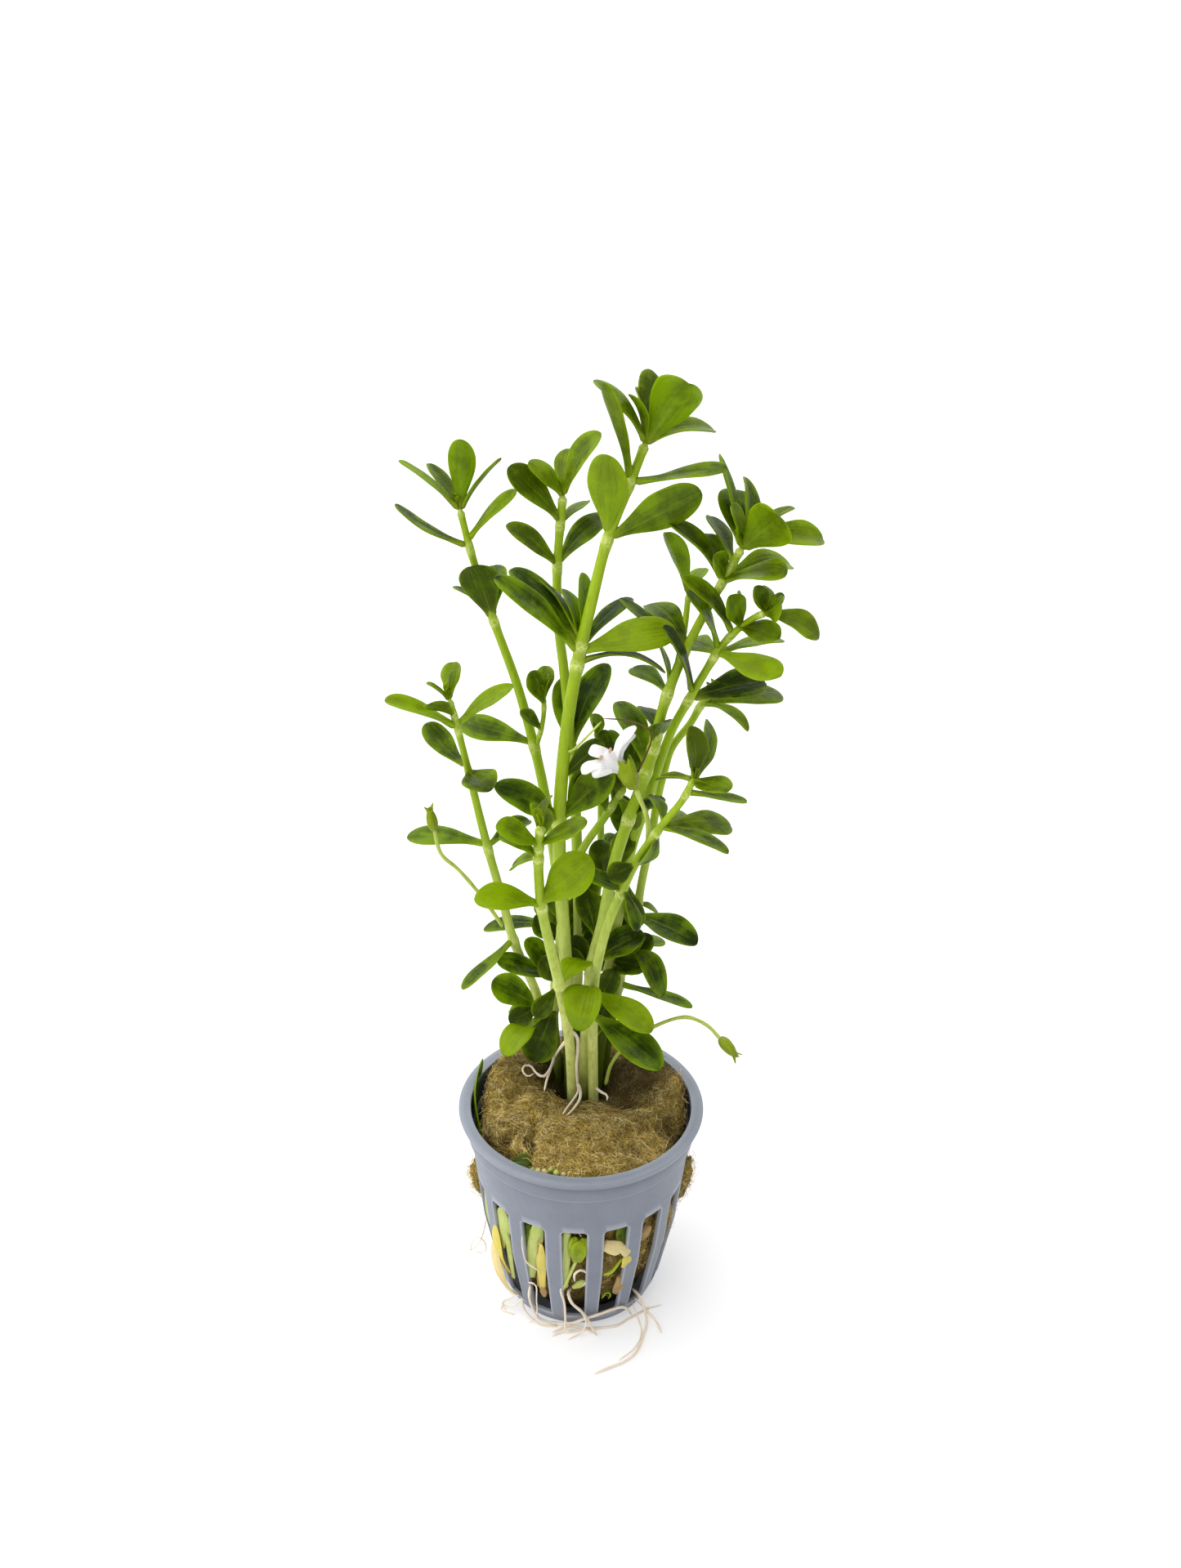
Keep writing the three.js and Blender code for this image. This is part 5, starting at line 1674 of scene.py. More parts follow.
SHOOTS = [
    Shoot("tall", (1.45, 0.8), [
        (-2.5, 9.5, 38.5), (-2.5, 9.2, 46), (-3, 6, 65), (-4, 3, 87), (-5, 1, 106), (-5, -1, 119.5),
        (-3.5, -2, 138.5), (-1.5, -1.5, 151), (0.5, -1, 160.5), (3.5, 0, 173), (7, 1, 182), (10, 2, 190),
    ], [
        (190, -41, 52, 15, 14.5, 9), (190, 83, 56, 5, 14.5, 6), (190, -166, 47, 35, 14.5, 5.5, 0.12),
        (190, 22, 10, -15, 14, 5.5, 0.1), (190, -136, 71, 0, 9.5, 4), (190, 105, 64, 0, 10.5, 3),
        (183, -134, 63, 5, 19, 5.5), (183, -17, 15, -30, 17.5, 5, -0.04), (173.5, -100, 70, -25, 16, 7.5),
        (173, -16, 29, 55, 19, 7.5), (151.5, -177, 44, 30, 21.5, 6), (152, 4, 14, -45, 18.5, 7.5),
        (152.5, 149, 42, 20, 20.5, 5.5), (153.5, 131, 42, -15, 17, 4), (150, -4, 0, 0, 16.5, 3.5, 0.12),
        (153.5, 93, 55, -30, 14, 5), (152.5, 113, 55, -15, 12.5, 4.5), (152.5, 48, 26, 15, 16, 5),
        (117, -163, 36, 45, 15.5, 6.5, 0.1), (117, -12, 47, -60, 16, 7, -0.05),
    ], lit=(8, 11), shade=76, inner=[
        ((-3.4, 4.8, 75), (-9, 4.5, 82), 5.5), ((-4.6, 1.8, 97), (-0.6, 4, 106), 5.5),
        ((-4.2, 2.4, 91), (-9.4, 4, 97), 5.5), ((-4.4, -1.4, 126.5), (3.4, -1.8, 134.6), 4.4),
        ((-3.6, 1, 118), (1.2, 1.2, 128), 5),
    ]),
    Shoot("middle", (1.2, 0.75), [
        (0.6, 11.2, 38.5), (0.4, 11.2, 46), (-1.3, 12, 63), (-1, 11, 80.5), (-1.2, 10, 93), (-1.6, 9.5, 105),
        (-2, 9, 116), (-2.8, 9, 127.5), (-4.6, 11, 144.5), (-5.8, 12, 154), (-6, 13, 165), (-5, 14, 178.5),
    ], [
        (178.5, -155, 47, 55, 9.5, 5), (178, -16, 61, -60, 14, 6), (178.5, 80, 54, 25, 10, 5),
        (178, -172, 34, 10, 5, 2.5), (173, -161, 45, 60, 15, 6), (173, 48, 20, 10, 8.5, 4),
        (165, -166, 43, 55, 12.5, 5), (165, 35, 36, -25, 14.5, 6), (127.5, 104, 59, 0, 15.5, 6),
        (128.5, 37, 62, -35, 18.5, 6.5),
    ], shade=72, inner=[
        ((-1.1, 10.6, 84), (3.6, 9, 94.5), 6), ((-1.1, 10.8, 82), (5, 9.6, 84.5), 5.5),
        ((-1.2, 10, 92), (3, 9, 102), 5.5),
    ]),
    Shoot("left", (1.2, 0.65), [
        (-2.4, 13.5, 38.5), (-2.4, 13.5, 46), (-3.8, 13.5, 61), (-4.7, 13, 80), (-5.4, 13, 91.5),
        (-6.7, 14, 103), (-8.5, 15, 115), (-10.7, 16, 125.5), (-14.3, 18, 138.5), (-19.2, 20, 152),
        (-23.2, 21, 164.5), (-25.6, 22, 174),
    ], [
        (174, -67, 84, 50, 14, 5.5), (174, -178, 38, 15, 15, 4.5), (174, 140, 39, -5, 12, 4.5),
        (174, 15, 49, 0, 13, 3.5), (166.5, -176, 27, 20, 16.5, 4.5, -0.04), (167.5, 0, 49, -30, 14, 4.5),
        (152, -141, 69, 0, 13, 8), (152, 94, 51, -20, 12.5, 7), (153, 155, 30, -10, 10, 3),
        (153, 65, 48, 20, 9.5, 3), (126.5, 166, 10, 35, 16.5, 6.5), (84.5, 169, -5, 10, 18, 5),
    ], shaded=(6,), shade=72, inner=[
        ((-4.7, 13, 79), (0.1, 11.6, 93), 7), ((-4.8, 13, 81), (-10.6, 12, 88), 6),
    ], side=Shoot("left_side", (0.5, 0.4), [(-10.4, 15.8, 125.5), (-8.8, 14.5, 133), (-8.7, 13.5, 139)], [
        (136, -146, 69, 65, 8, 4.5), (137, 86, 53, 0, 7.5, 4), (130, -153, 48, 35, 6.5, 3.5),
        (136, 40, 79, 45, 6.5, 3),
    ])),
    Shoot("low_left", (1.05, 0.55), [
        (-5.2, 14.6, 38.5), (-5.4, 14.8, 47), (-8, 13.8, 57), (-10.5, 10.5, 69.5), (-15, 7, 84.5),
        (-17.5, 5, 97.5), (-19.7, 3, 108.5), (-23, 0, 127.5), (-24.8, -1.5, 137.5), (-26, -2, 143),
    ], [
        (143, 86, 42, 5, 8, 4.5), (143, 1, 77, -25, 6, 3), (143, -173, 40, -5, 5.5, 2.5),
        (139.5, -117, 28, -20, 9, 4.5), (136.5, -159, 27, 10, 15.5, 5), (137, 35, 23, -10, 14, 5),
        (128, 139, 29, -15, 13, 6, -0.08), (126.5, -64, 5, -5, 11, 7), (109.5, 170, 2, 10, 17, 5.5),
        (109, 47, 9, -5, 12, 5), (85, -132, -17, -10, 16, 5, -0.04), (64, 179, 31, 25, 13, 7),
        (60, -127, -11, 0, 14, 7, 0.2), (61.5, 152, -11, -15, 9, 5),
    ], lit=(4, 5, 12), inner=[((-9.8, 11.6, 65), (-16.3, 9, 62), 5)]),
    Shoot("front", (1.15, 0.8), [
        (-2, 5.5, 38.5), (-2.1, 5.5, 46), (-2.8, 0, 64.5), (-5, -8, 84.5), (-6.6, -13, 96), (-8, -18, 108),
        (-8.3, -21, 119), (-7.7, -24, 127),
    ], [
        (123, 94, 23, -25, 9, 5), (122, -150, 36, 15, 10, 5.5), (122, -18, 33, 0, 11, 5.5),
        (119, -159, 40, 0, 9, 5), (119, 143, -32, 0, 8, 4.5), (126.5, 81, 23, 45, 8, 3.5),
        (107, -158, 18, 10, 13.5, 6), (108, -25, 49, -45, 15, 8), (83, 58, 8, 10, 10, 7),
    ], lit=(6, 7, 8), roots=[
        [
            (-2.9, -1, 67.5), (-1.2, -0.6, 65.5), (-0.9, 0.6, 61), (-1.1, 1.4, 56), (-0.9, 2.4, 51),
            (-0.8, 3, 47.8), (-1.6, 1.6, 47.2), (-3, -1.5, 47.2), (-4, -4, 47.3),
        ],
        [(-0.9, 2.4, 51), (-0.2, 2.4, 48.5), (-0.3, 1.5, 47.2), (-1.6, -1.8, 47.2), (-3, -4.2, 47.2)],
        [(-2.9, 0.2, 64.5), (-4.2, 1, 62), (-5.6, 4, 57.5), (-6, 7.6, 54)],
    ]),
    Shoot("flower", (1.15, 0.55), [
        (3, 5, 38.5), (2.7, 5, 46), (2.3, 2.5, 63), (2.3, 0, 76), (3, -2, 84.5), (5, -4, 95.5),
        (7.7, -7, 105), (10, -9, 112), (14.5, -14, 122.5), (18, -18, 130), (19.5, -20, 135),
    ], [
        (135, -170, 87, 5, 10, 5), (134, -55, 9, -20, 10, 5.5), (131.5, -1, -12, 25, 11, 4, 0.02),
        (134, 66, 40, -50, 13, 5), (135, 146, -12, -15, 8, 4), (123, 103, 20, -15, 8, 4),
        (122, 23, -6, 10, 16, 6), (122.5, 52, -16, 15, 13, 5.5), (122, -29, -5, 10, 14, 4.5),
        (120.5, 139, -69, 15, 9, 4.5), (105, -65, -37, 15, 9, 4), (104.5, -159, 30, 5, 9, 5),
        (76.5, -105, 1, -5, 15, 8, 0.28), (76, -43, -8, -5, 16.5, 7, 0.12),
        (69.5, -44, -13, 0, 20, 8.5, 0.08),
    ], lit=(12, 13), bent={76.5: (-0.25, 2.0)}, inner=[
        ((2.5, 3, 62), (6, 8, 71), 5), ((2.4, 1, 71), (7, 5, 79), 5),
        ((9.9, -8.8, 111.6), (4.6, -11.6, 110), 4.5),
    ], roots=[[(2.7, 4.6, 48.4), (4.4, 3, 48), (5.8, 2, 47.8), (5.7, 0.6, 47.6)]]),
    Shoot("right", (1.2, 0.55), [
        (3.8, 9.3, 38.5), (3.7, 9.3, 48), (5, 9.5, 65), (6.1, 9, 80), (8, 8, 94.5), (9.6, 7, 106.5),
        (12.3, 6, 117.5), (14.4, 5, 126), (16.8, 3.2, 135), (19.7, 0.5, 142.5), (21.8, 0, 147),
        (25.8, -1, 154.5), (30, -5, 160), (32, -8, 162),
    ], [
        (157.5, -41, -2, -30, 9, 5.5, 0.12), (157.5, 86, 49, -40, 7.5, 4), (157.5, -129, 60, 40, 8, 5),
        (156, -162, 52, 5, 15, 4.5), (162, -135, 61, 10, 6, 3.5), (162, 76, 35, -10, 6.5, 3.5),
        (162, -69, 31, 0, 6, 5), (161.5, -8, -19, 15, 11, 5.5, 0.15), (162, 34, 37, 0, 5, 2),
        (152, -43, -6, -40, 15, 6.5), (152, 129, -4, 40, 9.5, 6.5), (152.5, -153, 60, 10, 14, 5),
        (151.5, 17, 7, 15, 14, 5.5), (143.5, -136, 62, 25, 17, 5), (142.5, 18, 9, -15, 16, 7),
        (76.5, -38, 14, -5, 9, 5),
    ], lit=(9,), shaded=(13, 14), shade=74, inner=[
        ((8, 8, 94.5), (5.4, 12, 105), 5.5), ((9.6, 7, 106), (7, 12, 117), 5.5),
        ((6.1, 9, 79.6), (12.6, 8.4, 86.4), 5), ((6, 9, 79), (12.8, 6, 79.2), 5),
        ((8.7, 7.6, 99), (11.6, 6.4, 88.6), 4.5),
    ]),
    Shoot("low_right", (1, 0.7), [
        (5.5, 12.8, 38.5), (5.3, 12.8, 48), (6.6, 13, 60), (8.2, 12.5, 70.5), (9.3, 12, 78), (11.3, 12, 88.5),
        (12.6, 12, 98.5), (14, 11, 107.5), (14.8, 11, 115.5), (16, 10, 123), (17.4, 10, 128.5), (21, 10, 134),
        (23, 10, 138), (25, 10, 140),
    ], [
        (138.5, 21, 2, -5, 18, 7.5), (138, -31, -19, -20, 11, 4, 0.15), (88, -37, -3, -25, 16, 7, 0.1),
        (91.5, 27, -35, -15, 7, 3.5), (80, 33, -6, 5, 10, 5), (78.5, -49, -19, -15, 13, 5.5, 0.4),
        (70.5, -30, 3, 5, 18, 4, 0),
    ], shade=72, inner=[((10, 12, 82), (4.8, 11, 90.4), 6), ((9.2, 12, 77.5), (14.8, 11, 84), 5)]),
    Shoot("tall_right", (1.35, 0.65), [
        (0.5, 7.5, 38.5), (0.5, 7.2, 46), (1, 6, 65), (2, 4, 81), (4, 3, 91.5), (6, 1, 106), (8.5, -1, 117),
        (11, -1, 125), (13, -2, 133), (14.5, -1.5, 141), (17.5, 0.6, 149.5), (21, 1, 157.5), (24.5, -2, 166),
        (27.5, -4, 173),
    ], [
        (173, -58, 37, 35, 13.5, 9), (173, 18, 2, -15, 16, 6, 0.12), (173, 98, 42, 20, 13, 7.5),
        (173, 122, 58, -20, 17.5, 5), (173, 75, 65, -25, 13, 5.5), (173, 20, 38, 35, 12, 3.5),
        (173, -135, 66, 30, 9, 5), (169.5, 113, 33, -5, 12, 5), (172.5, -10, 15, -10, 7, 5),
        (166, -41, 15, -25, 14, 6), (166.5, 27, 8, 0, 15, 6.5), (166.5, -123, 44, 55, 7.5, 5),
        (166, 112, 49, 5, 10, 5), (166, 173, 48, 0, 14.5, 5), (167, 141, 38, -10, 13, 4),
        (144, 134, 16, 25, 10, 5.5), (152.5, 131, 30, 35, 13, 6, 0.12), (145.5, 118, 52, -5, 9, 4),
        (151.5, 162, 32, 25, 16, 4.5), (136.5, 111, 25, -5, 7.5, 5), (133.5, -64, 63, -30, 8, 5),
        (128.5, 117, 40, 5, 16, 6.5), (118, 10, 28, 0, 8, 4.5), (81, 1, 35, -25, 13, 7),
    ], shade=52, inner=[
        ((1.8, 4.6, 78), (-2.1, 7, 86), 4.5), ((1.9, 4.4, 79), (-5.2, 4.4, 83.5), 5),
        ((3, 3.5, 87), (0, 8, 97), 5.5), ((5, 2, 99), (3, 9, 108), 5.5), ((5.6, 1.6, 103), (9, 8, 111), 5),
    ], side=Shoot("tall_right_side", (0.65, 0.5), [(16.9, 0.2, 148), (18.4, 4, 155.5), (19, 6, 162)], [
        (162, -165, 68, 0, 13, 5.5), (162, 64, 26, 10, 8, 4.5),
    ])),
    Shoot("back", (0.9, 0.6), [
        (1.5, 15, 38.5), (1.3, 15, 48), (1.2, 15.5, 69.5), (2.1, 15.5, 84.5), (3.2, 16, 96), (3.3, 18, 112),
        (2.2, 20, 127),
    ], [
        (126, -152, 85, 45, 6, 4), (125, 72, -3, 0, 7, 4.5), (100.5, 54, 36, 10, 6, 3.5),
        (76, 114, 59, -10, 13.5, 6), (71.5, 115, 57, -15, 10, 5.5),
    ], shade=78, inner=[
        ((2.1, 15.4, 84), (8.6, 14, 92), 7), ((2.6, 15.6, 90), (-3.4, 14.6, 99), 7),
        ((1.4, 15.4, 72), (7.8, 14, 79), 7), ((2, 15.4, 82), (-3.6, 14.4, 87), 7),
    ]),
    Shoot("inner", (1, 0.7), [
        (-5.5, 11.5, 38.5), (-5.5, 11.5, 48), (-6.4, 10.5, 63), (-5.3, 8, 82), (-4, 7, 95), (-2.5, 6, 102),
        (0, 5, 108.5), (4, 4, 115.5), (6.5, 3, 120.5), (8, 2, 123.5),
    ], [
        (121, 84, 44, -25, 12, 5), (122, 118, 66, -10, 12.5, 5), (120.5, 2, -59, -30, 8, 5),
        (118.5, 113, 86, 10, 7, 4), (73.5, -149, 32, 15, 17, 6), (72.5, -154, 61, 30, 14.5, 6),
        (66, -135, -13, -25, 6, 4), (50.5, 157, 25, 0, 10, 6.5),
    ], shade=58, inner=[
        ((-6.2, 9.9, 66), (-11, 6, 54), 8), ((-5.9, 9, 71.5), (-10.4, 5, 66.2), 4.5),
        ((6.9, 2.8, 121), (3.2, 3, 134.9), 5.5), ((7.7, 2.2, 122.8), (9.4, 3, 133), 5),
        ((4.6, 3.8, 116.6), (0.2, 4, 129.4), 5.5),
    ], roots=[
        [
            (-6, 10.7, 53), (-7, 8.5, 50.4), (-8.6, 6.4, 49.4), (-10.2, 7.6, 49.3), (-11.8, 10, 49.6),
            (-13.2, 9.6, 49.8), (-13.3, 7.6, 49.6), (-12, 6.6, 49.2), (-10.9, 6.6, 50),
        ],
        [(-6.8, 9, 50.8), (-7.8, 6, 49), (-8.3, 2.8, 48.2)],
    ]),
]


def add_oval(shaper: Modeller, foot: Vector, tip: Vector, radius: float, finish: int, tone: float = 0.5,
             ridges: int = 5, pointed: float = 1.0) -> None:
    """Adds a ribbed pointed oval, such as a bud or a flower's throat.

    Args:
        shaper: The mesh it joins.
        foot: Its lower end in millimetres.
        tip: Its upper end in millimetres.
        radius: Its largest radius.
        finish: Its material slot.
        tone: Its own lightness.
        ridges: How many soft ridges run up it.
        pointed: 1 for even ends, more for a sharper tip.
    """
    axis = tip - foot
    turn = Vector((0, 0, 1)).rotation_difference(axis.normalized())
    made = bmesh.ops.create_uvsphere(shaper.bm, u_segments=20, v_segments=14, radius=1)
    for vert in made["verts"]:
        x, y, z = vert.co
        along = 0.5 + 0.5 * z
        slim = (1 - along) ** (pointed - 1) if along < 1 else 0.0
        angle = atan2(y, x)
        ridge = 1 + 0.07 * cos(ridges * angle)
        local = Vector((x * radius * ridge * slim, y * radius * ridge * slim, along * axis.length))
        vert.co = (foot + turn @ local) * MM
        vert[shaper.blade_layer] = (cos(ridges * angle), along, 1.0)
        vert[shaper.tint_layer] = (tone, 0.3, 0.0)
    shaper.dress(made["verts"], finish)


@dataclass
class Flower:
    """The open flower in front of the stems: corolla, calyx, its stalk and a dried one beside it.

    A lobe is its foot, its tip, the way that it faces and its width.
    """

    tube_foot: Point = (7.4, -9.0, 131.4)
    tube_mouth: Point = (3.0, -9.6, 134.9)
    tube_radius: float = 1.65
    lobes: Sequence[tuple[Point, Point, Point, float]] = (
        ((5.2, -9.4, 132.8), (8.2, -8.6, 140.4), (-0.8, -0.6, 0.4), 2.4),
        ((6.2, -9, 133.4), (8, -7.8, 138.7), (-0.7, -0.6, 0.4), 2.2),
        ((5.2, -9.8, 133), (-0.9, -10.2, 132.4), (0, -0.6, 0.9), 2.4),
        ((5.4, -9.4, 133.9), (1, -9.3, 136.1), (0.1, -0.7, 0.8), 2.6),
        ((5.2, -10.4, 132.6), (1.2, -11.2, 131.9), (0.1, -0.9, 0.5), 2.6),
    )
    marks: Sequence[Point] = ((4.4, -10.6, 135.5), (2.7, -10.9, 134.1))
    calyx_foot: Point = (9.3, -9.1, 127.6)
    calyx_mouth: Point = (7.0, -9.0, 133.2)
    calyx_radius: float = 1.75
    stalk: Sequence[Point] = (
        (9.5, -9, 127.9), (10.4, -9.6, 125.8), (11.4, -10, 123.6), (12.1, -10, 120.6), (12.1, -9.3, 117.3),
        (11.9, -8.2, 113.8),
    )
    dried: Sequence[Point] = (
        (9.4, -9, 130), (11.2, -9, 134.4), (12.2, -9, 137.7), (12, -9, 139.2), (10.3, -8, 140.2),
        (7, -6.6, 140.6), (3.2, -6, 140.6),
    )
    thin_shoot: Sequence[Point] = ((-3.6, -1.5, 132.0), (-2.3, -5, 133.8), (-0.6, -6, 136), (2.9, -6, 140.0))

    def build(self, wardrobe: Wardrobe) -> None:
        """Makes the corolla and the calyx with its stalks.

        Args:
            wardrobe: The finishes.
        """
        corolla = Modeller()
        add_oval(corolla, Vector(self.tube_foot), Vector(self.tube_mouth), self.tube_radius, 0, pointed=0.9)
        for i, (foot, tip, facing, width) in enumerate(self.lobes):
            corolla.blade_to(foot, tip, Vector(facing), width, 0, 0.5, 3.0 * i, widest=0.8, stalk=0.8,
                             thickness=0.34, cup=-0.2, wave=0.9, arch=0.1, nod=-0.2, point=0.3)
        for place in self.marks:
            add_oval(corolla, Vector(place), Vector(place) + Vector((0.3, 0.1, 1.1)), 0.3, 1)
        register(corolla.piece("corolla_petals", [wardrobe.petal, wardrobe.anther]), ["corolla"])
        calyx = Modeller()
        foot, mouth = Vector(self.calyx_foot), Vector(self.calyx_mouth)
        axis = (mouth - foot).normalized()
        add_oval(calyx, foot, mouth, self.calyx_radius, 0)
        self._sepals(calyx, foot, axis)
        add_root(calyx, self.stalk, 0.52, 0.42, 1)
        add_root(calyx, self.dried, 0.2, 0.12, 2)
        add_root(calyx, self.thin_shoot, 0.26, 0.2, 1)
        finishes = [wardrobe.calyx, wardrobe.stem, wardrobe.dried]
        register(calyx.piece("calyx_sepals", finishes), ["calyx"])

    def _sepals(self, shaper: Modeller, foot: Vector, axis: Vector) -> None:
        """Adds the sepals that wrap the corolla's foot, the front one broad.

        Args:
            shaper: The mesh that they join.
            foot: The calyx's foot in millimetres.
            axis: The way that it points.
        """
        outward = (Vector((-0.4, -1, 0)) - axis * Vector((-0.4, -1, 0)).dot(axis)).normalized()
        for k in range(5):
            lean = Matrix.Rotation(2 * pi * k / 5, 3, axis) @ outward
            tip = foot + axis * (6.8 if k else 7.2) + lean * 1.7
            shaper.blade_to(foot + lean * 0.3, tip, lean, 2.4 if k else 3.6, 0, 0.7, k, widest=0.45,
                            stalk=0.4, thickness=0.4, cup=-0.5, fold=-0.3, wave=0.1, arch=0.12, point=0.9)


@dataclass
class Bud:
    """A closed bud on a thin bent stalk."""

    name: str
    stalk: Sequence[Point]
    foot: Point
    tip: Point
    radius: float

    def build(self, wardrobe: Wardrobe) -> None:
        """Makes the stalk, the bud's body and its pointed sepals.

        Args:
            wardrobe: The finishes.
        """
        shaper = Modeller()
        foot, tip = Vector(self.foot), Vector(self.tip)
        axis = (tip - foot).normalized()
        add_oval(shaper, foot, tip, self.radius * 0.9, 0, 0.5, 5, 1.25)
        outward = axis.orthogonal().normalized()
        for k in range(4):
            lean = Matrix.Rotation(pi * k / 2, 3, axis) @ outward
            way = (axis + lean * 0.12).normalized()
            form = BladeForm(*bearing(way), 0, (tip - foot).length * (0.95 if k % 2 else 1.1), 1.9, 0.1,
                             widest=0.4, stalk=0.4, thickness=0.35, cup=0.4, wave=0.08, point=1.0)
            shaper.blade((foot + lean * 0.45) * MM, axis - lean * 0.2, form, 0.5, 0.3, 0, k)
        add_root(shaper, self.stalk, 0.45, 0.4, 1)
        register(shaper.piece(f"{self.name}_head", [wardrobe.calyx, wardrobe.stem]), [self.name])


BUDS = [
    Bud("left_bud", [
        (-17.3, 6, 88.5), (-18.2, 5, 91), (-22, 3, 98.5), (-25.8, 1.5, 104.5), (-28.9, 0, 108.7),
        (-30, -1, 115),
    ], (-30, -1, 114.4), (-30.8, -1, 119.6), 1.4),
    Bud("right_bud", [
        (5.4, 6, 47.6), (6.6, 5.2, 54), (9.6, 5, 59), (15.7, 4, 65), (22.6, 3, 68.3), (27, 2, 67),
        (30.3, 2, 63.3),
    ], (30, 2, 63.8), (34.2, 2, 58.6), 1.7),
]


@dataclass
class LooseRoots:
    """Roots that leave the lower slots and lie on the surface. A root is its radius and its route."""

    bundles: dict[str, Sequence[tuple[float, Sequence[Point]]]] = field(default_factory=lambda: {
        "left_roots": [
            (0.4, [
                (-10.6, -17.2, 11), (-10.9, -17.1, 8), (-10.6, -16.7, 5.2), (-9.6, -16.4, 2),
                (-8.6, -16.8, 0.6), (-6.6, -17.6, 0.45), (-4.5, -18.2, 0.45),
            ]),
            (0.34, [
                (-12.6, -15.2, 5), (-12.4, -15.2, 2.4), (-11.4, -16.2, 1.2), (-8.5, -18.2, 0.4),
                (-4.5, -18.6, 0.4),
            ]),
            (0.22, [
                (-12.6, -15.2, 5), (-14.6, -14.5, 2), (-17, -12.6, 0.3), (-17.6, -14, 0.3),
                (-14.4, -15.4, 0.3),
            ]),
            (0.2, [
                (-13.4, -14.6, 5.2), (-14.4, -12.8, 3.4), (-15.6, -11.8, 1.2), (-16.9, -11.4, 0.3),
                (-17.4, -13, 0.3), (-16.2, -14, 0.3),
            ]),
            (0.2, [
                (-11.1, -17.5, 12.2), (-9.4, -19, 13), (-9.2, -18.6, 8.2), (-9.2, -17.3, 3),
                (-9.8, -17.2, 0.6), (-11, -17.6, 0.3),
            ]),
            (0.17, [
                (-21.2, -5.6, 18.6), (-22.2, -6, 14), (-23.2, -6, 11.6), (-24.9, -6, 9.8), (-24.4, -6, 12.3),
                (-23.3, -6, 13.8), (-21.8, -6.4, 13.1), (-21.3, -6.4, 10.6), (-22.3, -6, 9.1),
                (-24.1, -6, 9.6),
            ]),
        ],
        "front_roots": [
            (0.42, [
                (-1.5, -17.7, 11), (-2.2, -20.6, 12.4), (-1.4, -20.9, 9.9), (0.6, -20.2, 6.8),
                (2, -19.9, 4.3), (3.4, -20.3, 1.4), (4.2, -21, 0.45),
            ]),
            (0.32, [
                (-3.4, -18.6, 13), (-3.8, -21.1, 13.6), (-3, -20.4, 9.1), (-2.8, -20.4, 3), (-3.1, -20, 0.5),
                (-5.8, -21.4, 0.4),
            ]),
            (0.4, [
                (-6.7, -17.6, 0.45), (-4.2, -18, 0.5), (-1.6, -18.6, 1.3), (1.3, -19.5, 3.6), (4.9, -19, 4.7),
                (7.5, -18.3, 5.3), (9.7, -17.2, 4.9), (11.2, -15.6, 2.4), (12, -15, 0.5),
            ]),
            (0.3, [
                (-5.6, -20.4, 0.4), (-3.7, -19.4, 0.5), (-1.6, -18.9, 0.9), (1.6, -19.6, 0.8),
                (4, -20.6, 0.4),
            ]),
            (0.36, [
                (-2.9, -20.4, 0.5), (1.3, -19.4, 0.5), (5.6, -18.9, 0.45), (8.8, -18.2, 0.45),
                (11.8, -16, 0.45), (16.6, -12.9, 0.4),
            ]),
            (0.24, [
                (0.8, -20.4, 7), (1.8, -20.6, 4), (1.2, -20.8, 1.6), (-0.6, -21.2, 0.3), (-2.2, -22.2, 0.3),
            ]),
        ],
        "long_root": [
            (0.4, [
                (12.1, -12.5, 5.6), (13.7, -14, 5), (14.9, -15.3, 2.6), (15.4, -17.5, 0.5),
                (14.4, -21.4, 0.45), (12.9, -25.2, 0.45), (10.4, -27.7, 0.4), (6.8, -29.5, 0.35),
                (3.7, -31, 0.3),
            ]),
            (0.34, [(14.9, -15.3, 2.6), (17, -16.4, 0.8), (18.1, -18.2, 0.4), (18.6, -20, 0.35)]),
            (0.2, [
                (12.2, -14.6, 3.4), (13.6, -16.4, 0.4), (14.2, -20, 0.25), (12.6, -24, 0.25), (9, -27.4, 0.2),
            ]),
            (0.22, [(12.6, -13.6, 4), (15.2, -13.6, 1), (17.6, -12.6, 0.3), (19, -12, 0.3)]),
        ],
    })

    def build(self, wardrobe: Wardrobe) -> None:
        """Makes each bundle.

        Args:
            wardrobe: The finishes.
        """
        for name, routes in self.bundles.items():
            shaper = Modeller()
            for radius, route in routes:
                add_root(shaper, route, radius * 0.92, radius * 0.65)
            register(shaper.piece(f"{name}_strands", [wardrobe.root]), [name])


Scrap = tuple[Point, Point, float, float, float, Tone]


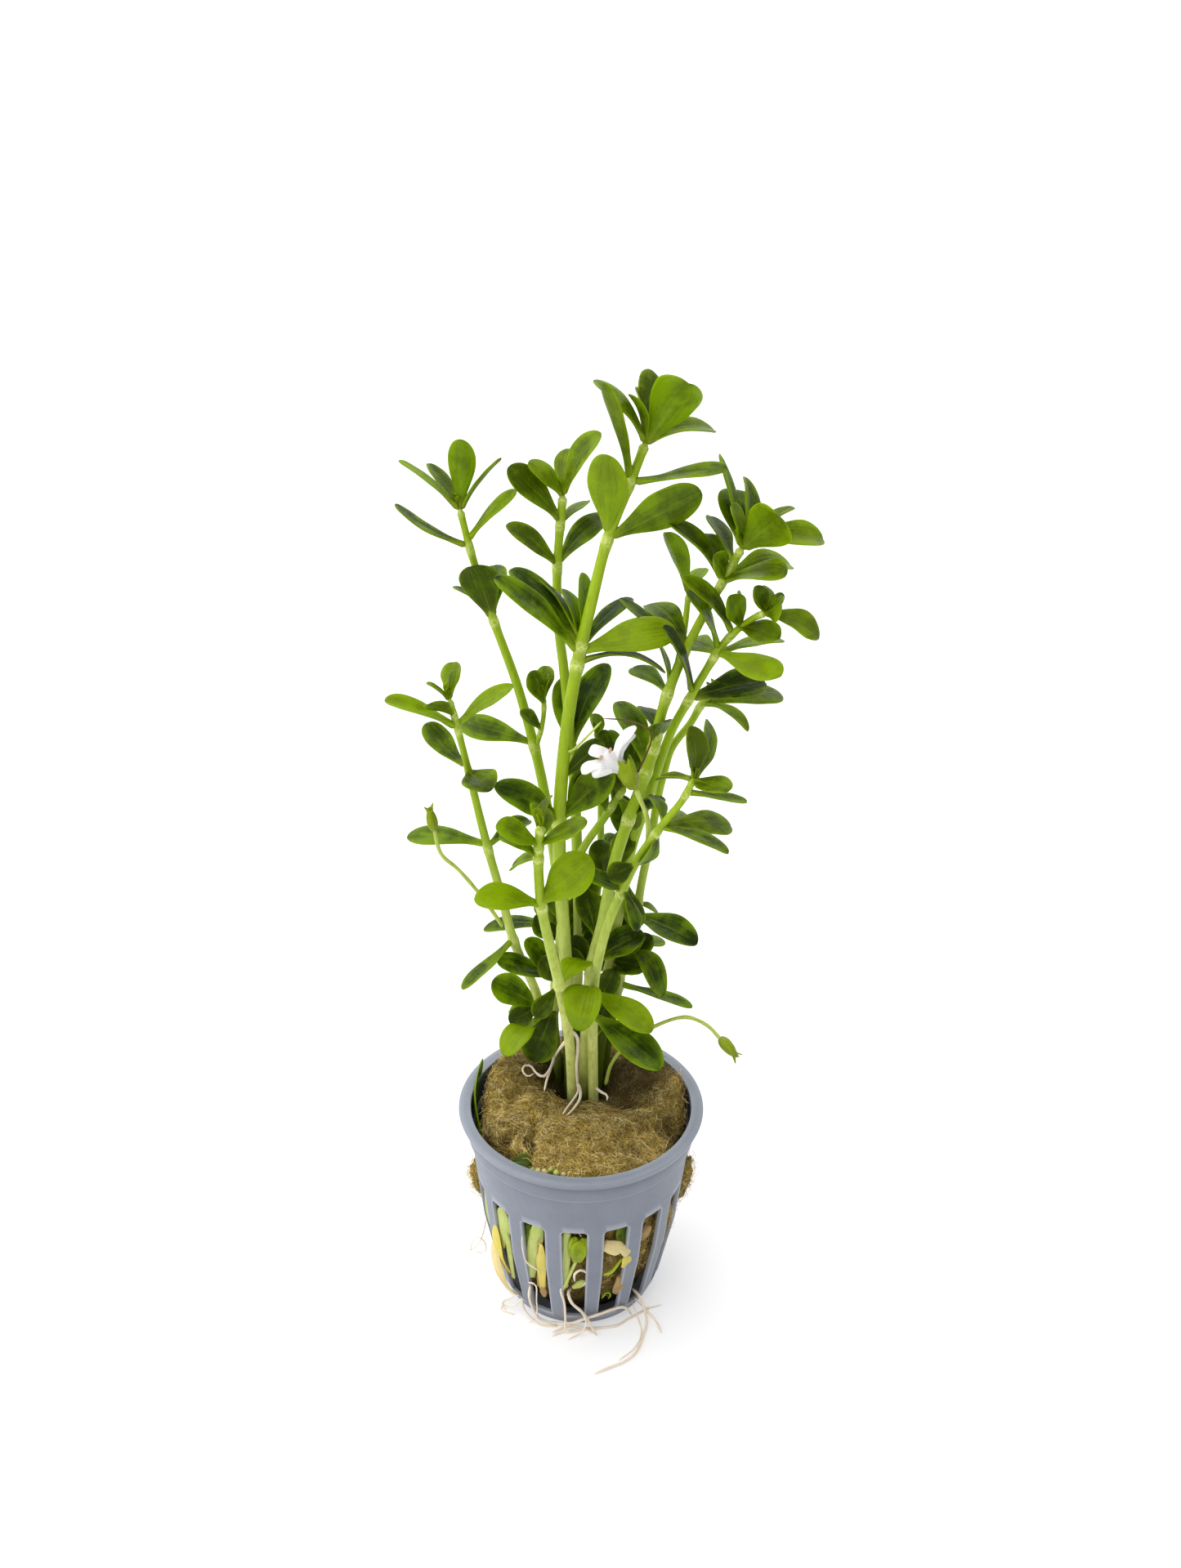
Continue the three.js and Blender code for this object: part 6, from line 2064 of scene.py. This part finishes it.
@dataclass
class OldLeaves:
    """Old leaves: one squeezed between wool and rim, the rest behind the slots.

    A scrap is its foot, its tip, its width, how far it arches, how wide its foot is, and its finish. Each
    faces away from the pot's axis. A foot of 0.95 makes a strap with blunt ends.
    """

    pieces: dict[str, Sequence[Scrap]] = field(default_factory=lambda: {
        "tucked_leaf": [((-21.2, -7.4, 42.6), (-22.6, 10.6, 51), 5.6, 0.1, 0.5, Tone.GREEN)],
        "yellow_leaf": [
            ((-15, -13.7, 10.6), (-18.4, -12.9, 24.4), 2.9, 0.1, 0.4, Tone.YELLOW),
            ((-13.8, -14.3, 4.8), (-19, -12.2, 18.6), 3.8, 0.13, 0.35, Tone.BEIGE),
            ((-16.6, -13.3, 17.4), (-16.6, -15.2, 31), 4.6, 0.02, 0.14, Tone.PALE),
            ((-14.4, -14.4, 9.6), (-15.9, -15.4, 25.4), 2, 0.02, 0.5, Tone.PALE),
            ((-19.9, -7.3, 18.6), (-20.8, -8.9, 31.6), 2.6, 0.04, 0.3, Tone.PALE),
            ((-17.8, -6, 12.6), (-19.6, -7.4, 24.8), 3.2, 0.04, 0.5, Tone.GREEN),
            ((-16.8, -14.2, 29.2), (-15.6, -15.8, 31.2), 2, 0.1, 0.5, Tone.WITHERED),
        ],
        "strap_leaf": [
            ((-11.2, -16.6, 12.4), (-8.6, -20.7, 31.6), 3.5, 0.02, 0.9, Tone.PALE),
            ((-7.8, -17.9, 9.4), (-8, -20.6, 26.4), 2.3, 0.03, 0.6, Tone.YELLOW),
            ((-7.5, -17.9, 8.6), (-7.7, -18.9, 12.4), 1.8, 0.1, 0.6, Tone.WITHERED),
            ((-11.8, -16.8, 22.5), (-10.8, -18.8, 30.6), 2.4, 0.1, 0.5, Tone.GREEN),
        ],
        "slot_leaf": [((-3.3, -19.9, 12.4), (-2.5, -22.2, 31.3), 2.2, 0.02, 0.95, Tone.PALE)],
        "slot_sprout": [
            ((-0.4, -21.2, 22.6), (-1.1, -22.4, 30.2), 2.8, 0.14, 0.7, Tone.LIME),
            ((-0.3, -21.9, 22.6), (0.1, -22.9, 29.6), 3.2, 0.16, 0.7, Tone.LIME),
            ((-0.2, -21.4, 22.8), (1.2, -22.3, 29.9), 2.8, 0.14, 0.7, Tone.LIME),
            ((-0.1, -21.2, 23.2), (2.1, -22, 27.8), 2.4, 0.16, 0.7, Tone.LIME),
            ((-1.4, -20, 13.4), (1.6, -20.5, 15.8), 1.8, 0.1, 0.5, Tone.PALE),
        ],
        "withered_leaf": [
            ((5, -21.6, 27.2), (9.8, -20, 24.6), 3.4, 0.1, 0.7, Tone.BEIGE),
            ((8.4, -20.6, 26), (11.2, -19, 22.6), 2.6, 0.14, 0.6, Tone.BEIGE),
            ((9.2, -19.4, 25.2), (9.1, -20.1, 31.4), 3, 0.05, 0.5, Tone.GREEN),
            ((9.3, -20.1, 19.4), (11, -19.2, 22.8), 2.2, 0.1, 0.3, Tone.YELLOW),
            ((9, -18.3, 15.6), (8.4, -17.4, 9), 3, 0.1, 0.5, Tone.WITHERED),
            ((13.4, -16.8, 24), (15.2, -15.8, 27.4), 3, 0.1, 0.5, Tone.WITHERED),
        ],
    })
    stalks: dict[str, Sequence[tuple[float, Tone, Sequence[Point]]]] = field(default_factory=lambda: {
        "strap_leaf": [
            (0.3, Tone.WITHERED, [(-8.8, -18.0, 11.5), (-8.8, -19.4, 20), (-8.8, -20.2, 25.5)]),
            (0.16, Tone.WITHERED, [(-9, -20.4, 26.2), (-8.3, -21.0, 27.6), (-7.4, -21.4, 28.4)]),
            (0.19, Tone.ROOT, [
                (-12.2, -19.4, 27.4), (-12.1, -19, 23.1), (-11.2, -19.1, 19.4), (-9.3, -19.8, 18.5),
                (-8.6, -20, 17.8),
            ]),
        ],
        "slot_sprout": [
            (0.45, Tone.PALE, [
                (-3.5, -19.9, 12.4), (-2.6, -20.7, 15.6), (-1.7, -21.2, 18.8), (-0.4, -21.6, 23),
            ]),
            (0.27, Tone.ROOT, [
                (-0.8, -21.3, 16.6), (-0.8, -21.8, 19.2), (0.5, -22, 20.5), (1.7, -21.7, 19.5),
                (1.8, -21, 16.5), (1, -20.6, 14.4),
            ]),
            (0.1, Tone.ROOT, [(-0.6, -22, 31.8), (0, -22.2, 31), (0.6, -22, 29.6)]),
        ],
        "withered_leaf": [
            (0.36, Tone.LIME, [(5.3, -20.8, 18.1), (7, -20.5, 18.5), (8.3, -20.3, 20.3), (9.3, -20, 22)]),
            (0.3, Tone.GREEN, [(5.2, -19, 9.4), (6.2, -19.2, 11.4), (7.1, -18.6, 10), (6.6, -18.4, 8.6)]),
        ],
    })

    def build(self, wardrobe: Wardrobe) -> None:
        """Makes each piece.

        Args:
            wardrobe: The finishes.
        """
        for name, scraps in self.pieces.items():
            shaper = Modeller()
            for i, (foot, tip, width, arch, stalk, tone) in enumerate(scraps):
                outward = Vector((tip[0], tip[1], 0)).normalized() + Vector((0, 0, 0.2))
                shaper.blade_to(foot, tip, outward, width, tone.slot, 0.6, foot[0] + i, arch=arch,
                                stalk=stalk, widest=0.6, thickness=0.45, cup=-0.2, wave=0.4,
                                twist=10.0 * sin(5 * i + tip[2]), point=0.2 if stalk > 0.7 else 0.5)
            for radius, tone, route in self.stalks.get(name, ()):
                add_root(shaper, route, radius, radius * 0.8, tone.slot)
            register(shaper.piece(f"{name}_blade", Tone.materials(wardrobe)), [name])


@dataclass
class WoolScraps:
    """Chopped bits of leaf and crumbs that lie on the wool along the rim. A crumb is place, size, finish."""

    crumbs: Sequence[tuple[Point, float, Tone]] = (
        ((-9.8, -20.4, 46.2), 0.9, Tone.PALE), ((-8.6, -21.2, 46.4), 1.1, Tone.BEIGE),
        ((-7.2, -21.4, 46.5), 1, Tone.BEIGE), ((-6, -21.2, 46.9), 0.8, Tone.PALE),
        ((-4.8, -21.7, 46.6), 1.1, Tone.PALE), ((-3.4, -22, 46.4), 0.9, Tone.BEIGE),
        ((-2.2, -21.8, 46.6), 0.7, Tone.PALE), ((-20, -8.4, 45.2), 1.4, Tone.WITHERED),
        ((-18.6, -9.8, 45), 1.2, Tone.BEIGE), ((-17.4, -11.6, 44.8), 1, Tone.WITHERED),
        ((-20.8, -6.6, 45), 0.8, Tone.PALE),
    )
    leaf: tuple[Point, Point, float] = ((-14.9, -17.2, 45.2), (-10.2, -19.8, 47), 4.2)

    def build(self, wardrobe: Wardrobe) -> None:
        """Makes the scraps, as one piece on the wool.

        Args:
            wardrobe: The finishes.
        """
        shaper = Modeller()
        for i, (place, size, tone) in enumerate(self.crumbs):
            lean = direction(70.0 * i, 20)
            start = Vector(place) - lean * size * 0.8
            add_oval(shaper, start, start + lean * size * 1.6, size * 0.6, tone.slot, 0.5, 3 + i % 3)
        foot, tip, width = self.leaf
        shaper.blade_to(foot, tip, Vector((-0.2, -0.4, 1)), width, Tone.GREEN.slot, 0.0, 4.0, cup=0.3,
                        wave=0.6)
        register(shaper.piece("wool_scraps", Tone.materials(wardrobe)))


@dataclass(frozen=True)
class CameraView:
    """The photograph's viewpoint: its image is 1445 wide and 1919 high."""

    place: Point = (1.02, -219.5, 220.8)
    pitch: float = 23.67
    roll: float = 0.854
    lens: float = 28.0
    film_height: float = 36.0

    def build(self) -> None:
        """Creates the camera and makes it the scene's."""
        down, tilt = radians(self.pitch), radians(self.roll)
        ahead = Vector((0, cos(down), -sin(down)))
        level = Vector((1, 0, 0))
        upright = level.cross(ahead)
        right = level * cos(tilt) + upright * sin(tilt)
        up = upright * cos(tilt) - level * sin(tilt)
        data = bpy.data.cameras.new("photo_view")
        data.lens = self.lens
        data.sensor_fit = "VERTICAL"
        data.sensor_height = self.film_height
        data.clip_start = 0.005
        camera = link_object("photo_view", data)
        turn = Matrix((right, up, -ahead)).transposed().to_4x4()
        camera.matrix_world = Matrix.Translation(Vector(self.place) * MM) @ turn
        bpy.context.scene.camera = camera


@dataclass(frozen=True)
class Sun:
    """A soft light from far off. bearing is where it comes from, 0 to +X and -90 to the front."""

    name: str
    bearing: float
    height: float
    strength: float
    softness: float

    def build(self) -> None:
        """Creates the light. The angles are in degrees and the strength in watts to the square metre."""
        data = bpy.data.lights.new(self.name, "SUN")
        data.energy = self.strength
        data.angle = radians(self.softness)
        shine = -direction(self.bearing, self.height)
        link_object(self.name, data).matrix_world = shine.to_track_quat("-Z", "Y").to_matrix().to_4x4()


@dataclass(frozen=True)
class Studio:
    """Pale floor, pale surroundings and soft lights.

    The background that the camera sees is brighter than the one that lights the plant, so its shadows keep
    their depth.
    """

    floor_size: float = 6000.0
    floor_colour: Colour = rgb(196, 196, 196)
    floor_glow: float = 0.33
    seen_colour: Colour = rgb(240, 240, 240)
    light_colour: Colour = rgb(252, 252, 254)
    light_strength: float = 0.62
    suns: Sequence[Sun] = (
        Sun("key", 180, 50, 2.4, 90),
        Sun("back", 75, 40, 0.8, 70),
    )

    def build(self) -> None:
        """Makes the floor, the world and the lights."""
        bm = bmesh.new()
        bmesh.ops.create_grid(bm, x_segments=2, y_segments=2, size=self.floor_size / 2 * MM)
        material = bpy.data.materials.new("pale_floor")
        material.use_nodes = True
        shader = material.node_tree.nodes["Principled BSDF"]
        shader.inputs["Base Color"].default_value = (*self.floor_colour, 1)
        shader.inputs["Roughness"].default_value = 0.8
        shader.inputs["Specular IOR Level"].default_value = 0.1
        shader.inputs["Emission Color"].default_value = (1, 1, 1, 1)
        shader.inputs["Emission Strength"].default_value = self.floor_glow
        place_piece("floor", bm, [material])
        self._make_world()
        for sun in self.suns:
            sun.build()

    def _make_world(self) -> None:
        """Makes the surroundings."""
        world = bpy.data.worlds.new("pale_room")
        world.use_nodes = True
        nodes, links = world.node_tree.nodes, world.node_tree.links
        lit = nodes["Background"]
        lit.inputs["Color"].default_value = (*self.light_colour, 1)
        lit.inputs["Strength"].default_value = self.light_strength
        seen = nodes.new("ShaderNodeBackground")
        seen.inputs["Color"].default_value = (*self.seen_colour, 1)
        mix = nodes.new("ShaderNodeMixShader")
        links.new(nodes.new("ShaderNodeLightPath").outputs["Is Camera Ray"], mix.inputs[0])
        links.new(lit.outputs[0], mix.inputs[1])
        links.new(seen.outputs[0], mix.inputs[2])
        links.new(mix.outputs[0], nodes["World Output"].inputs["Surface"])
        bpy.context.scene.world = world


def write_sizes() -> None:
    """Updates the view layer."""
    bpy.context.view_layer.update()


def main() -> None:
    """Builds the object, its stage and its view."""
    logging.basicConfig(level=logging.INFO, format="%(name)s: %(message)s")
    bpy.context.scene.view_settings.view_transform = "Standard"
    bpy.context.scene.view_settings.look = LOOK
    CameraView().build()
    Studio().build()
    wardrobe = Wardrobe()
    NetPot().build(wardrobe)
    RockWool().build(wardrobe)
    for shoot in SHOOTS:
        shoot.build(wardrobe)
    Flower().build(wardrobe)
    for bud in BUDS:
        bud.build(wardrobe)
    LooseRoots().build(wardrobe)
    OldLeaves().build(wardrobe)
    WoolScraps().build(wardrobe)
    write_sizes()


if __name__ == "__main__":
    main()
